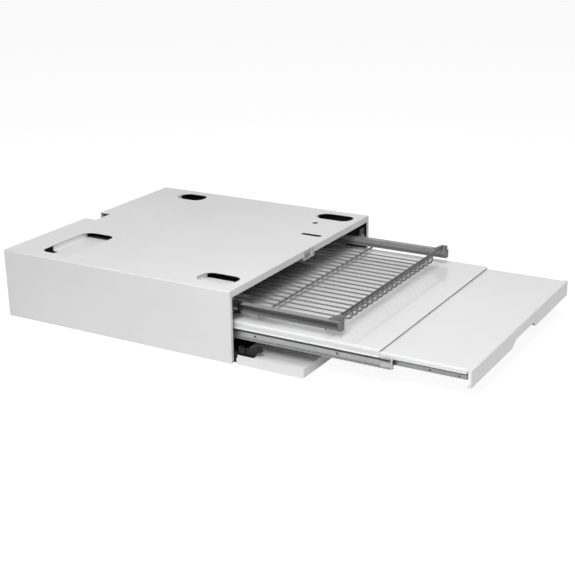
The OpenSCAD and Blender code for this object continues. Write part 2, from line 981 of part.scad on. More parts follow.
// Fascia folded down from the tray, with short returns at its ends and a hem along its foot.
module fascia() {
    z0 = front_tray_top - fascia_h;
    difference() {
        union() {
            along_x(-fascia_half, fascia_half)
                translate([fascia_y, z0])
                    difference() {
                        front_corner(fascia_hem, fascia_h, fascia_r);
                        translate([tray_t, tray_t])
                            front_corner(fascia_hem, fascia_h - 2 * tray_t, fascia_r - tray_t);
                    }
            for (s = [0, 1])
                mirror([s, 0, 0])
                    block([-fascia_half, fascia_y + tray_t / 2, z0 + tray_t / 2],
                        [tray_t - fascia_half, fascia_y + fascia_return,
                            front_tray_top - fascia_r]);
        }
        along_y(fascia_y - eps, fascia_y + fascia_hem + eps)
            grip(z0);
    }
}

// Block with its upper front corner rounded, in Y and Z.
module front_corner(w, h, r) {
    square([w, h - r]);
    translate([r, 0])
        square([w - r, h]);
    translate([r, h - r])
        circle(r);
}

// Hand hold cut into the lower edge of the fascia.
module grip(z0) {
    polygon([[grip_x0, z0 - eps], [grip_x1, z0 - eps],
        [grip_top_x1 + grip_soft, z0 + grip_h - grip_soft_drop], [grip_top_x1, z0 + grip_h],
        [grip_top_x0, z0 + grip_h], [grip_top_x0 - grip_soft, z0 + grip_h - grip_soft_drop]]);
}

// Left-hand inner member, riveted to the leg of the front tray.
module slide_inner() {
    color(steel)
        difference() {
            along_y(inner_y0, inner_y0 + inner_len)
                difference() {
                    translate([-inner_face, slide_z - inner_half_h])
                        square([inner_face - leg_out, 2 * inner_half_h]);
                    translate([inner_t - inner_face, slide_z - inner_half_h + inner_t])
                        square([inner_face, 2 * (inner_half_h - inner_t)]);
                }
            front_rivet_places()
                cylinder(r = front_rivet_r + press_gap, h = 4 * front_tray_r, center = true);
        }
}

module front_rivet_places() {
    for (s = [0, 1])
        mirror([s, 0, 0])
            for (y = front_rivet_y)
                translate([-inner_face, inner_y0 + y - eps, slide_z])
                    rotate([0, 90, 0])
                        children();
}

module slide_inner_left() {
    slide_inner();
}

module slide_inner_right() {
    right()
        slide_inner();
}

module front_tray_rivets() {
    color(steel)
        front_rivet_places() {
            translate([0, 0, -front_rivet_head_h])
                cylinder(r = front_rivet_head_r, h = front_rivet_head_h);
            cylinder(r = front_rivet_r, h = inner_face - leg_in);
            translate([0, 0, inner_face - leg_in])
                cylinder(r = front_rivet_head_r, h = front_rivet_head_h);
        }
}

// ---- Ball cages ----

// Left-hand cage: a strip bent round the member inside it, with a hole for each ball.
module cage(web, strip, t, off, y0, len) {
    along_y(y0, y0 + len) {
        translate([-web - t, slide_z - off - t / 2])
            square([t, 2 * off + t]);
        for (s = [-1, 1])
            translate([-web - t, slide_z + s * off - t / 2])
                square([web + t - strip, t]);
    }
}

module ball_row(x, off, y0, len, count) {
    for (s = [-1, 1])
        for (i = [0 : count - 1])
            translate([-x, y0 + len * (i + 0.5) / count, slide_z + s * off])
                children();
}

module outer_cage() {
    color(steel)
        difference() {
            cage(outer_cage_web, outer_cage_strip, cage_out_t, outer_ball_off,
                outer_cage_y0, outer_cage_len);
            ball_row(outer_ball_x, outer_ball_off, outer_cage_y0, outer_cage_len,
                outer_ball_count)
                cylinder(r = outer_ball_r + press_gap, h = 2 * cage_out_t, center = true);
        }
}

module outer_cages() {
    outer_cage();
    right()
        outer_cage();
}

module outer_balls() {
    color(grey)
        for (s = [0, 1])
            mirror([s, 0, 0])
                ball_row(outer_ball_x, outer_ball_off, outer_cage_y0, outer_cage_len,
                    outer_ball_count)
                    sphere(r = outer_ball_r);
}

module inner_cage() {
    color(steel)
        difference() {
            cage(inner_cage_web, inner_cage_strip, cage_in_t, inner_ball_off,
                inner_cage_y0, inner_cage_len);
            ball_row(inner_ball_x, inner_ball_off, inner_cage_y0, inner_cage_len,
                inner_ball_count)
                cylinder(r = inner_ball_r + press_gap, h = 2 * cage_out_t, center = true);
        }
}

module inner_cages() {
    inner_cage();
    right()
        inner_cage();
}

module inner_balls() {
    color(grey)
        for (s = [0, 1])
            mirror([s, 0, 0])
                ball_row(inner_ball_x, inner_ball_off, inner_cage_y0, inner_cage_len,
                    inner_ball_count)
                    sphere(r = inner_ball_r);
}

// ---- Rack guides ----

// Left-hand fixed guide: a channel open towards the middle.
module rack_guide() {
    color(black)
        along_y(guide_y0, guide_y0 + guide_len)
            difference() {
                translate([-guide_out, guide_z])
                    square([guide_flange_w, guide_h]);
                translate([guide_t - guide_out, guide_z + guide_t])
                    square([guide_flange_w, guide_h - 2 * guide_t]);
            }
}

module rack_guide_left() {
    rack_guide();
}

module rack_guide_right() {
    right()
        rack_guide();
}

// Left-hand brackets from the casing side to the guide; the front one is faced by a plate.
module guide_hangers() {
    color(black)
        difference() {
            for (y = gb_y) {
                block([-wall_in, front + y, gb_drop_z],
                    [gb_t - wall_in, front + y + gb_len, gb_high_z]);
                block([-wall_in, front + y, gb_drop_z],
                    [-guide_out, front + y + gb_t, gb_z1]);
                block([-guide_out - gb_t, front + y, gb_z0],
                    [-guide_out, front + y + gb_len, gb_z1]);
            }
            gb_rivet_places()
                rotate([90, 0, 0])
                    cylinder(r = gb_rivet_r + press_gap, h = 4 * gb_t, center = true);
        }
}

module guide_brackets() {
    guide_hangers();
    right()
        guide_hangers();
}

module gb_rivet_places() {
    w = gb_plate_out - gb_plate_in;
    h = gb_z1 - gb_drop_z;
    for (p = gb_rivet_shares)
        translate([p[0] * w - gb_plate_out, front + gb_y[0], gb_drop_z + p[1] * h])
            children();
}

module guide_front_plates() {
    color(black)
        for (s = [0, 1])
            mirror([s, 0, 0])
                difference() {
                    block([-gb_plate_out, front + gb_y[0] - gb_t, gb_drop_z],
                        [-gb_plate_in, front + gb_y[0], gb_high_z]);
                    gb_rivet_places()
                        rotate([90, 0, 0])
                            cylinder(r = gb_rivet_r + press_gap, h = 4 * gb_t, center = true);
                }
}

module guide_rivets() {
    color(steel)
        for (s = [0, 1])
            mirror([s, 0, 0])
                gb_rivet_places()
                    rotate([90, 0, 0]) {
                        translate([0, 0, -gb_t])
                            cylinder(r = gb_rivet_r, h = 2 * gb_t);
                        translate([0, 0, gb_t])
                            cylinder(r = gb_rivet_head_r, h = gb_rivet_head_h);
                        translate([0, 0, -gb_t - gb_rivet_head_h])
                            cylinder(r = gb_rivet_head_r, h = gb_rivet_head_h);
                    }
}

// ---- Wire rack ----

// Left-hand rail: a channel open towards its guide.
module rack_rail() {
    color(grey)
        along_y(rail_y0, rail_y0 + rail_len)
            difference() {
                translate([-rail_out, rail_z])
                    square([rail_w, rail_h]);
                translate([-rail_out - eps, rail_z + rail_t])
                    square([rail_w - rail_t + eps, rail_h - 2 * rail_t]);
            }
}

module rack_rail_left() {
    rack_rail();
}

module rack_rail_right() {
    right()
        rack_rail();
}

// Outline of a cap in Y and Z: a plate before the rail and an ear that slopes down onto it.
module cap_outline() {
    polygon([[rack_cap_y, rail_z], [rack_cap_y, ear_top], [rail_y0 + ear_flat, ear_top],
        [rail_y0 + ear_len, rail_top], [rail_y0, rail_top], [rail_y0, rail_z]]);
}

module rack_end_caps() {
    inset = rail_t + rack_plug_gap / 2;
    color(grey)
        difference() {
            for (s = [0, 1])
                mirror([s, 0, 0]) {
                    block([-rail_out, rack_cap_y, rail_z], [-rail_in, rail_y0, rail_top]);
                    block([-rail_out, rail_y0 - eps, rail_z + inset],
                        [-rail_in - inset, rail_y0 + rack_plug_len, rail_top - inset]);
                    along_x(-rod_tip, -rail_in)
                        cap_outline();
                }
            bar_x(rod_r + press_gap, -front_rod_half, front_rod_half, rack_rod_y, front_rod_z);
        }
}

module wire_places() {
    for (i = [0 : wire_count - 1])
        translate([i * wire_pitch - wire_half_span, 0, 0])
            children();
}

// Wires that lie on the cross rods and bend up to the underside of the front rod.
module rack_wires() {
    y0 = rack_rod_y + wire_bend_r;
    y1 = rail_y0 + rail_len - wire_back;
    z0 = wire_z + wire_bend_r;
    color(grey)
        wire_places() {
            bar_y(wire_d / 2, y0, y1, 0, wire_z);
            translate([0, y0, z0])
                rotate([90, 0, 90])
                    rotate([0, 0, 180])
                        rotate_extrude(angle = 90)
                            translate([wire_bend_r, 0])
                                circle(wire_d / 2);
            bar_z(wire_d / 2, z0, front_rod_z - rod_r, 0, rack_rod_y);
        }
}

module rack_front_rod() {
    color(grey)
        bar_x(rod_r, -front_rod_half, front_rod_half, rack_rod_y, front_rod_z);
}

// The rods that carry the wires, welded under the rails and bored for their end plugs.
module rack_cross_rods() {
    bore = cross_rod_half - rod_plug_len;
    color(grey)
        for (y = cross_rod_y)
            difference() {
                bar_x(rod_r, -cross_rod_half, cross_rod_half, rail_y0 + y, cross_rod_z);
                bar_x(rod_bore_r, bore, rod_tip, rail_y0 + y, cross_rod_z);
                bar_x(rod_bore_r, -rod_tip, -bore, rail_y0 + y, cross_rod_z);
            }
}

module rod_plugs() {
    shank = cross_rod_half - rod_plug_len + press_gap;
    color(black)
        for (s = [0, 1])
            mirror([s, 0, 0])
                for (y = cross_rod_y) {
                    bar_x(rod_bore_r - press_gap, shank, rod_tip, rail_y0 + y, cross_rod_z);
                    bar_x(rod_r, cross_rod_half, rod_tip, rail_y0 + y, cross_rod_z);
                }
}

// ---- Flap ----

// Outline of the flap in Y and Z with its long outer edges rounded, less a rim of its own.
module flap_outline(rim) {
    r = flap_edge_r - rim;
    y0 = flap_front_y + rim;
    y1 = flap_rear_y - rim;
    translate([y0 + r, rim])
        square([y1 - y0 - 2 * r, flap_thick]);
    translate([y0, rim + r])
        square([y1 - y0, flap_thick]);
    for (y = [y0 + r, y1 - r])
        translate([y, rim + r])
            circle(r);
}

module flap_outer_skin() {
    color(white)
        difference() {
            along_x(-flap_half, flap_half)
                flap_outline(0);
            along_x(flap_t - flap_half, flap_half - flap_t)
                flap_outline(flap_t);
            block([-half_w, flap_front_y - eps, flap_thick],
                [half_w, flap_rear_y + eps, 2 * flap_thick]);
            block([-half_w, flap_rear_y - flap_edge_r, flap_rear_lip],
                [half_w, flap_rear_y + eps, 2 * flap_thick]);
            for (s = [0, 1])
                mirror([s, 0, 0])
                    block([-fixed_in - fixed_w - flap_t, flap_rear_y - flap_edge_r - eps, flap_t],
                        [flap_t - fixed_in, flap_rear_y + eps, 2 * flap_thick]);
            for (y = arm_screw_y)
                for (s = [-1, 1])
                    bar_z(arm_screw_r + press_gap, flap_t / 2, flap_thick,
                        s * arm_screw_x, y);
        }
}

module flap_inner_skin() {
    x = flap_half - flap_t;
    y0 = flap_front_y + flap_t;
    y1 = flap_rear_y - flap_t;
    color(white)
        difference() {
            block([-x, y0, flap_thick - flap_t], [x, y1, flap_thick]);
            for (s = [0, 1])
                mirror([s, 0, 0])
                    block([-x - eps, y1 - flap_cut_len, flap_thick - 2 * flap_t],
                        [-flap_cut_in, y1 + eps, flap_thick + flap_t]);
        }
    color(white)
        block([flap_t - flap_cut_in, y1 - flap_t, flap_rear_lip - inner_hem],
            [flap_cut_in - flap_t, y1, flap_thick - flap_t / 2]);
}

// Left-hand black arm, fixed in the flap and standing up beside the hinge.
module flap_arm() {
    color(black)
        difference() {
            union() {
                along_x(-arm_in - arm_w, -arm_in)
                    translate([axis_y, flap_t])
                        polygon(arm_outline);
                along_x(-ear_in - ear_w, -ear_in)
                    translate([axis_y, flap_t])
                        polygon(ear_outline);
                block([-ear_in - ear_w, axis_y - arm_foot_y1, flap_t],
                    [arm_foot_in - arm_in, axis_y - arm_foot_y0, flap_t + arm_foot_t]);
                for (p = boss_yz)
                    bar_x(boss_r, -arm_in - arm_w - boss_w, -arm_in, axis_y + p[0], p[1]);
            }
            bar_x(pin_r + press_gap, -half_w, -pin_in, axis_y, axis_z);
            for (y = arm_screw_y)
                bar_z(arm_screw_r + press_gap, 0, flap_thick, -arm_screw_x, y);
        }
}

module flap_arms() {
    flap_arm();
    right()
        flap_arm();
}

module flap_arm_screws() {
    color(steel)
        for (s = [-1, 1])
            for (y = arm_screw_y) {
                bar_z(arm_screw_r, flap_t / 2, flap_t + arm_foot_t, s * arm_screw_x, y);
                bar_z(arm_screw_head_r, flap_t + arm_foot_t,
                    flap_t + arm_foot_t + arm_screw_head_h, s * arm_screw_x, y);
            }
}

// Left-hand fixed half of the hinge, bolted to the base plate's upturned edge.
module hinge_bracket() {
    y0 = front + fixed_front_gap;
    color(black)
        difference() {
            union() {
                block([casing_t - wall_in, y0, fixed_base_z],
                    [-fixed_in - fixed_w / 2, y0 + fixed_len, fixed_base_z + fixed_base_h]);
                along_x(-fixed_in - fixed_w, -fixed_in) {
                    translate([axis_y, axis_z])
                        circle(eye_r);
                    polygon([[axis_y, axis_z + eye_r], [axis_y, axis_z - eye_r],
                        [y0, casing_t + arm_clear], [y0 + fixed_len, fixed_base_z],
                        [y0 + fixed_len, fixed_base_z + fixed_base_h],
                        [y0, fixed_base_z + fixed_base_h]]);
                }
            }
            bar_x(pin_r + run_gap, -half_w, -fixed_in + eps, axis_y, axis_z);
            hinge_screw_places()
                cylinder(r = hinge_screw_r + press_gap, h = half_w, center = true);
        }
}

module hinge_screw_places() {
    for (f = hinge_screw_shares)
        translate([-fixed_in, front + fixed_front_gap + f * fixed_len, base_lip_h - hinge_screw_drop])
            rotate([0, 90, 0])
                children();
}

module hinge_brackets() {
    hinge_bracket();
    right()
        hinge_bracket();
}

module hinge_screws() {
    color(steel)
        for (s = [0, 1])
            mirror([s, 0, 0])
                hinge_screw_places() {
                    translate([0, 0, fixed_in - wall_in])
                        cylinder(r = hinge_screw_r, h = wall_in - fixed_in);
                    cylinder(r = hinge_screw_head_r, h = hinge_screw_head_h);
                }
}

module hinge_pins() {
    color(steel)
        for (s = [0, 1])
            mirror([s, 0, 0]) {
                bar_x(pin_r, -ear_in - ear_w, -pin_in, axis_y, axis_z);
                bar_x(pin_head_r, -pin_in, pin_head_w - pin_in, axis_y, axis_z);
            }
}

// Torsion springs wound round the pins, one leg against the foot and one standing up.
module hinge_springs() {
    pitch = 2 * spring_wire_r + press_gap;
    x0 = pin_in + spring_wire_r + press_gap;
    color(steel)
        for (s = [0, 1])
            mirror([s, 0, 0]) {
                bar_y(spring_wire_r, axis_y - arm_foot_y0, axis_y, -x0, axis_z - spring_r);
                for (i = [1 : spring_turns])
                    translate([-x0 - i * pitch, axis_y, axis_z])
                        rotate([0, 90, 0])
                            rotate_extrude($fn = 24)
                                translate([spring_r, 0])
                                    circle(spring_wire_r, $fn = 16);
                bar_z(spring_wire_r, axis_z, axis_z + spring_leg,
                    -x0 - pitch * (spring_turns + 1), axis_y - spring_r);
            }
}

module strike_plate() {
    y0 = flap_front_y + strike_inset;
    color(steel)
        block([strike_x - strike_w / 2, y0, flap_thick],
            [strike_x + strike_w / 2, y0 + strike_l, flap_thick + strike_t]);
}

casing_shell();
base_plate();
back_panel();
back_rivets();
top_stiffener();
pocket_front_left();
pocket_front_right();
pocket_rear_left();
pocket_rear_right();
flap_catch();
catch_magnet();
catch_screws();
slide_brackets();
slide_outer_left();
slide_outer_right();
slide_screws();
rack_guide_left();
rack_guide_right();
guide_brackets();
guide_front_plates();
guide_rivets();
hinge_brackets();
hinge_screws();
rear_tray();
slide_mid_outer_left();
slide_mid_outer_right();
slide_mid_inner_left();
slide_mid_inner_right();
slide_mid_rivets();
rear_tray_rivets();
slide_end_caps();
outer_cages();
outer_balls();
front_tray();
slide_inner_left();
slide_inner_right();
front_tray_rivets();
inner_cages();
inner_balls();
rack_rail_left();
rack_rail_right();
rack_end_caps();
rack_wires();
rack_front_rod();
rack_cross_rods();
rod_plugs();
flap_outer_skin();
flap_inner_skin();
flap_arms();
flap_arm_screws();
hinge_pins();
hinge_springs();
strike_plate();
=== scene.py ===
"""Looks for the pull-out laundry shelf: powder-coated steel, zinc slides, a grey wire rack and a
let-down flap, in a soft white studio. Metres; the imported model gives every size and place."""

import json
import math

import bmesh
import bpy
from mathutils import Matrix, Vector


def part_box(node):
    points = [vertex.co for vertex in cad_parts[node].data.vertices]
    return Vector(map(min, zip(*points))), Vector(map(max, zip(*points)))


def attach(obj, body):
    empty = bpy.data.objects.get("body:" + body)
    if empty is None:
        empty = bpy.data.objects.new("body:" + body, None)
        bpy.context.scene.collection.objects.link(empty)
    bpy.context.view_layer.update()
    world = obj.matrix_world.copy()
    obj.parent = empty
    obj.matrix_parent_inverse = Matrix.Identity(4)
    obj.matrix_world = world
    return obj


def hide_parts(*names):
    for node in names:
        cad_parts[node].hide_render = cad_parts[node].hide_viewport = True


MM = 0.001
X, Y, Z = range(3)
# Corners of a node's loose triangles that are nearer than this are one.
SAME_POINT = 2e-6

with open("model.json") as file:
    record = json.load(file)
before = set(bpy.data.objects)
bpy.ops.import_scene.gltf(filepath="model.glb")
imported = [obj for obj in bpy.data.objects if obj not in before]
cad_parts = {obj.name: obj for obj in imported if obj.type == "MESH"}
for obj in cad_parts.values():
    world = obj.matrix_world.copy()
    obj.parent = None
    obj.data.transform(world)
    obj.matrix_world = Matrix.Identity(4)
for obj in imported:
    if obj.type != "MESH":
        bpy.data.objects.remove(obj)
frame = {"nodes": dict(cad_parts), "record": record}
NODES = frame["nodes"]
BODY_OF = {n: b for b, names in frame["record"]["behaviour"]["bodies"].items() for n in names}
SLOT_OF = {s["node"]: s["material_slot"] for s in frame["record"]["subparts"]}
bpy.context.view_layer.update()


# ---- Building shader and geometry trees ----

def add(tree, kind, settings=None, **inputs):
    """One node with its properties set; each input is given a value or a socket to link."""
    made = tree.nodes.new(kind)
    for key, value in (settings or {}).items():
        setattr(made, key, value)
    for key, value in inputs.items():
        socket = find_input(made, key)
        if isinstance(value, bpy.types.NodeSocket):
            tree.links.new(value, socket)
        else:
            socket.default_value = value
    return made


def find_input(made, key):
    """The input named key, with underscores for spaces, or input 1 for the key i1."""
    if key[0] == "i" and key[1:].isdigit():
        return made.inputs[int(key[1:])]
    wanted = key.replace("_", " ").lower()
    for socket in made.inputs:
        if socket.name.lower() == wanted and socket.enabled:
            return socket
    raise KeyError(f"{made.bl_idname} has no input {key}")


def math_node(tree, operation, *values):
    settings = {"operation": operation}
    return add(tree, "ShaderNodeMath", settings, **numbered(values)).outputs[0]


def vector_node(tree, operation, *values):
    settings = {"operation": operation}
    return add(tree, "ShaderNodeVectorMath", settings, **numbered(values)).outputs[0]


def numbered(values):
    return {f"i{i}": value for i, value in enumerate(values)}


def folded(tree, operation, sockets):
    """All the sockets put together by one math operation, or None for no sockets."""
    whole = None
    for socket in sockets:
        whole = socket if whole is None else math_node(tree, operation, whole, socket)
    return whole


def ramp(tree, value, low, high, to_low=0.0, to_high=1.0, curve="LINEAR"):
    """value carried from the range low..high to the range to_low..to_high, held at its ends."""
    return add(tree, "ShaderNodeMapRange", {"clamp": True, "interpolation_type": curve},
               i0=value, i1=low, i2=high, i3=to_low, i4=to_high).outputs[0]


def mix_colour(tree, factor, a, b):
    return add(tree, "ShaderNodeMix", {"data_type": "RGBA"}, i0=factor, i6=a, i7=b).outputs[2]


def noise(tree, place, scale, detail):
    return add(tree, "ShaderNodeTexNoise", Vector=place, Scale=scale, Detail=detail).outputs[0]


def bumped(tree, height, strength, depth, **normal):
    """A normal that follows height, on the piece's own one or on the given Normal."""
    return add(tree, "ShaderNodeBump", Height=height, Strength=strength, Distance=depth,
               **normal).outputs[0]


def object_place(tree):
    return add(tree, "ShaderNodeTexCoord").outputs["Object"]


def place_group(tree, group, **inputs):
    """A shared effect put into a material's tree, with its own values."""
    return add(tree, "ShaderNodeGroup", {"node_tree": group}, **inputs).outputs


def grey(value, tint=0.0):
    """A near-neutral colour: tint above zero is a little bluer."""
    return (value * (1 - tint), value, value * (1 + tint), 1.0)


def new_group(name, inputs, outputs):
    """An empty shader group with the given sockets; inputs are (name, kind, default)."""
    tree = bpy.data.node_groups.new(name, "ShaderNodeTree")
    for label, kind, default in inputs:
        socket = tree.interface.new_socket(label, in_out="INPUT", socket_type=kind)
        if default is not None:
            socket.default_value = default
    for label, kind in outputs:
        tree.interface.new_socket(label, in_out="OUTPUT", socket_type=kind)
    start = tree.nodes.new("NodeGroupInput")
    end = tree.nodes.new("NodeGroupOutput")
    return tree, start.outputs, end.inputs


FLOAT = "NodeSocketFloat"
INT = "NodeSocketInt"
VECTOR = "NodeSocketVector"


def orange_peel_group():
    """The shallow ripple of powder coat, with a slow drift of tone and of gloss."""
    tree, given, out = new_group(
        "Orange peel",
        [("Ripple size", FLOAT, 420.0), ("Ripple depth", FLOAT, 0.12), ("Drift size", FLOAT, 3.2)],
        [("Normal", VECTOR), ("Drift", FLOAT), ("Gloss", FLOAT)],
    )
    place = object_place(tree)
    ripple = noise(tree, place, given["Ripple size"], 2.5)
    drift = noise(tree, place, given["Drift size"], 3.0)
    speck = noise(tree, place, 90.0, 4.0)
    tree.links.new(bumped(tree, ripple, given["Ripple depth"], 0.15 * MM), out["Normal"])
    tree.links.new(ramp(tree, drift, 0.3, 0.7), out["Drift"])
    tree.links.new(ramp(tree, speck, 0.35, 0.65), out["Gloss"])
    return tree


def inside_box_group():
    """1 inside the box between two corners, fading to 0 across its faces, else 0."""
    tree, given, out = new_group(
        "Inside box",
        [("Low", VECTOR, None), ("High", VECTOR, None), ("Soft", FLOAT, 0.1 * MM)],
        [("Mask", FLOAT)],
    )
    place = object_place(tree)
    above_low = vector_node(tree, "SUBTRACT", place, given["Low"])
    below_high = vector_node(tree, "SUBTRACT", given["High"], place)
    depths = [depth for away in (above_low, below_high)
              for depth in add(tree, "ShaderNodeSeparateXYZ", Vector=away).outputs]
    share = math_node(tree, "DIVIDE", folded(tree, "MINIMUM", depths), given["Soft"])
    tree.links.new(add(tree, "ShaderNodeClamp", Value=share).outputs[0], out["Mask"])
    return tree


STREAK_STRETCH = 0.035
CRYSTAL_SHARE = 0.4


def rolled_metal_group():
    """Rolling streaks along Y, the faint crystal pattern of zinc and stray handling marks."""
    tree, given, out = new_group(
        "Rolled metal",
        [("Streak size", FLOAT, 260.0), ("Crystal size", FLOAT, 140.0)],
        [("Tone", FLOAT), ("Polish", FLOAT), ("Normal", VECTOR)],
    )
    place = object_place(tree)
    drawn = vector_node(tree, "MULTIPLY", place, Vector((1.0, STREAK_STRETCH, 1.0)))
    streak = noise(tree, drawn, given["Streak size"], 5.0)
    crystal = add(tree, "ShaderNodeTexVoronoi", Vector=place, Scale=given["Crystal size"])
    shade = add(tree, "ShaderNodeSeparateColor", Color=crystal.outputs["Color"]).outputs[0]
    tone = math_node(tree, "ADD", math_node(tree, "MULTIPLY", streak, 1 - CRYSTAL_SHARE),
                     math_node(tree, "MULTIPLY", shade, CRYSTAL_SHARE))
    tree.links.new(tone, out["Tone"])
    tree.links.new(ramp(tree, noise(tree, place, 22.0, 3.0), 0.3, 0.7), out["Polish"])
    tree.links.new(bumped(tree, streak, 0.18, 0.05 * MM), out["Normal"])
    return tree


def dimple_group():
    """The shallow dish that a spot weld leaves in sheet: 1 outside it, falling to 0 inside."""
    tree, given, out = new_group(
        "Weld dimple",
        [("Centre", VECTOR, None), ("Radius", FLOAT, 3.0 * MM)],
        [("Height", FLOAT)],
    )
    away = add(tree, "ShaderNodeVectorMath", {"operation": "DISTANCE"},
               i0=object_place(tree), i1=given["Centre"]).outputs["Value"]
    share = math_node(tree, "DIVIDE", away, given["Radius"])
    tree.links.new(ramp(tree, share, 0.25, 1.0, curve="SMOOTHSTEP"), out["Height"])
    return tree


ORANGE_PEEL = orange_peel_group()
DIMPLE = dimple_group()
INSIDE_BOX = inside_box_group()
ROLLED_METAL = rolled_metal_group()


def empty_material(name):
    """A material with nothing but its output, and the input there for the surface."""
    made = bpy.data.materials.new(name)
    made.use_nodes = True
    tree = made.node_tree
    tree.nodes.clear()
    return made, tree, tree.nodes.new("ShaderNodeOutputMaterial").inputs["Surface"]


def new_material(name):
    """A material with one surface shader, and that shader's inputs."""
    made, tree, surface = empty_material(name)
    shader = tree.nodes.new("ShaderNodeBsdfPrincipled")
    tree.links.new(shader.outputs[0], surface)
    return made, tree, shader.inputs


WELD_RADIUS = 5.0 * MM
TOP_COAT_ROUGHNESS = 0.05


def coat(name, colour, rough=0.42, ripple=420.0, depth=0.12, drift=0.03, painted_shade_boxes=(),
         dark=0.03, dimples=(), gloss=0.0):
    """Powder coat. Faces inside the given (low, high) boxes are painted dark grey as painted
    shade;
    dimples are spot welds that show through the sheet as dents, each with a painted highlight;
    gloss is a clear top coat."""
    made, tree, surface = new_material(name)
    peel = place_group(tree, ORANGE_PEEL, Ripple_size=ripple, Ripple_depth=depth)
    paler = tuple(min(1.0, c * (1 + drift)) for c in colour[:3]) + (1.0,)
    deeper = tuple(c * (1 - drift) for c in colour[:3]) + (1.0,)
    tone = mix_colour(tree, peel["Drift"], deeper, paler)
    tone = with_painted_shade(tree, tone, painted_shade_boxes, dark)
    normal = peel["Normal"]
    dish = folded(tree, "MINIMUM", [
        place_group(tree, DIMPLE, Centre=centre, Radius=WELD_RADIUS)[0] for centre in dimples])
    if dish is not None:
        # Each dimple is painted paler, up to white at its middle: a painted highlight.
        tone = mix_colour(tree, ramp(tree, dish, 0.1, 0.8, 1.0, 0.0), tone, grey(1.0))
        normal = bumped(tree, dish, 0.6, 0.5 * MM, Normal=normal)
    tree.links.new(tone, surface["Base Color"])
    tree.links.new(ramp(tree, peel["Gloss"], 0.0, 1.0, rough - 0.04, rough + 0.05),
                   surface["Roughness"])
    tree.links.new(normal, surface["Normal"])
    surface["Specular IOR Level"].default_value = 0.4
    surface["Coat Weight"].default_value = gloss
    surface["Coat Roughness"].default_value = TOP_COAT_ROUGHNESS
    return made


def with_painted_shade(tree, tone, boxes, dark):
    """The tone, painted dark grey as painted shade on the faces inside any of the boxes."""
    mask = folded(tree, "MAXIMUM", [
        place_group(tree, INSIDE_BOX, Low=low, High=high)[0] for low, high in boxes])
    return tone if mask is None else mix_colour(tree, mask, tone, grey(dark))


ZINC_METALLIC = 0.85
# The tone of painted shadow on zinc.
PAINTED_SHADOW_TONE = 0.05


def zinc(name, value, rough=0.38, spread=0.22, painted_shade_boxes=()):
    """Zinc-plated steel. Faces inside the given (low, high) boxes are painted dark as painted
    shadow.
    """
    made, tree, surface = new_material(name)
    rolled = place_group(tree, ROLLED_METAL)
    tone = mix_colour(tree, rolled["Tone"], grey(value * (1 - spread)),
                      grey(min(1.0, value * (1 + spread)), 0.01))
    tree.links.new(with_painted_shade(tree, tone, painted_shade_boxes, PAINTED_SHADOW_TONE), surface["Base Color"])
    tree.links.new(ramp(tree, rolled["Polish"], 0.0, 1.0, rough - 0.07, rough + 0.1),
                   surface["Roughness"])
    tree.links.new(rolled["Normal"], surface["Normal"])
    surface["Metallic"].default_value = ZINC_METALLIC
    return made


# The cross recess, as shares of the screw head's radius.
RECESS_HALF_WIDTH = 0.13
RECESS_REACH = 0.55


def cross_screw(name, value):
    """Zinc with a cross recess, drawn by the place on each head that the screw tree stores: a
    dent, painted near-black inside as painted shade.
    """
    made, tree, surface = new_material(name)
    rolled = place_group(tree, ROLLED_METAL)
    at = add(tree, "ShaderNodeAttribute", {"attribute_name": "on_head"}).outputs["Vector"]
    share = add(tree, "ShaderNodeSeparateXYZ", Vector=at)
    across = [math_node(tree, "ABSOLUTE", share.outputs[i]) for i in (X, Y)]
    arms = [math_node(tree, "MULTIPLY",
                      math_node(tree, "LESS_THAN", width, RECESS_HALF_WIDTH),
                      math_node(tree, "LESS_THAN", length, RECESS_REACH))
            for width, length in (across, across[::-1])]
    cross = math_node(tree, "MAXIMUM", *arms)
    tone = mix_colour(tree, rolled["Tone"], grey(value * 0.8), grey(value * 1.15, 0.01))
    # The recess is painted near-black as painted shade.
    tree.links.new(mix_colour(tree, cross, tone, grey(0.03)), surface["Base Color"])
    tree.links.new(ramp(tree, rolled["Polish"], 0.0, 1.0, 0.25, 0.4), surface["Roughness"])
    tree.links.new(bumped(tree, math_node(tree, "SUBTRACT", 1.0, cross), 0.8, 0.3 * MM,
                          Normal=rolled["Normal"]), surface["Normal"])
    surface["Metallic"].default_value = ZINC_METALLIC
    return made


def plastic(name, value, rough=0.5):
    """Moulded plastic with a fine even grain and a little dust in it."""
    made, tree, surface = new_material(name)
    place = object_place(tree)
    grain = noise(tree, place, 1500.0, 2.0)
    dust = noise(tree, place, 55.0, 5.0)
    dusty = ramp(tree, dust, 0.45, 0.75)
    tree.links.new(mix_colour(tree, dusty, grey(value), grey(value * 1.5 + 0.01)),
                   surface["Base Color"])
    tree.links.new(ramp(tree, dust, 0.3, 0.7, rough - 0.06, rough + 0.08), surface["Roughness"])
    tree.links.new(bumped(tree, grain, 0.25, 0.08 * MM), surface["Normal"])
    surface["Specular IOR Level"].default_value = 0.3
    return made


# ---- Materials ----

CASING_LOW, CASING_HIGH = (Vector(p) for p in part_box("casing_shell"))
SHEET = 1.5 * MM
# How far a box of painted shade goes into the sheet, or stays below its outer face.
SKIN = 0.15 * MM

# The casing's inner faces are painted dark as painted shade. The painted shade stops a little
# way short of the back, so both sides of the back panel and round the rear notch keep the light
# coat.
UNSHADED_BACK_DEPTH = 45.0 * MM
INNER_LOW = CASING_LOW + Vector((SHEET - SKIN, SHEET - SKIN, -SHEET))
INNER_HIGH = CASING_HIGH - Vector((SHEET - SKIN, UNSHADED_BACK_DEPTH, SHEET - SKIN))
# The base plate's inner faces get the painted shade too, down to the skin of its underside.
PLATE_LOW = Vector((INNER_LOW.x, INNER_LOW.y, SKIN))
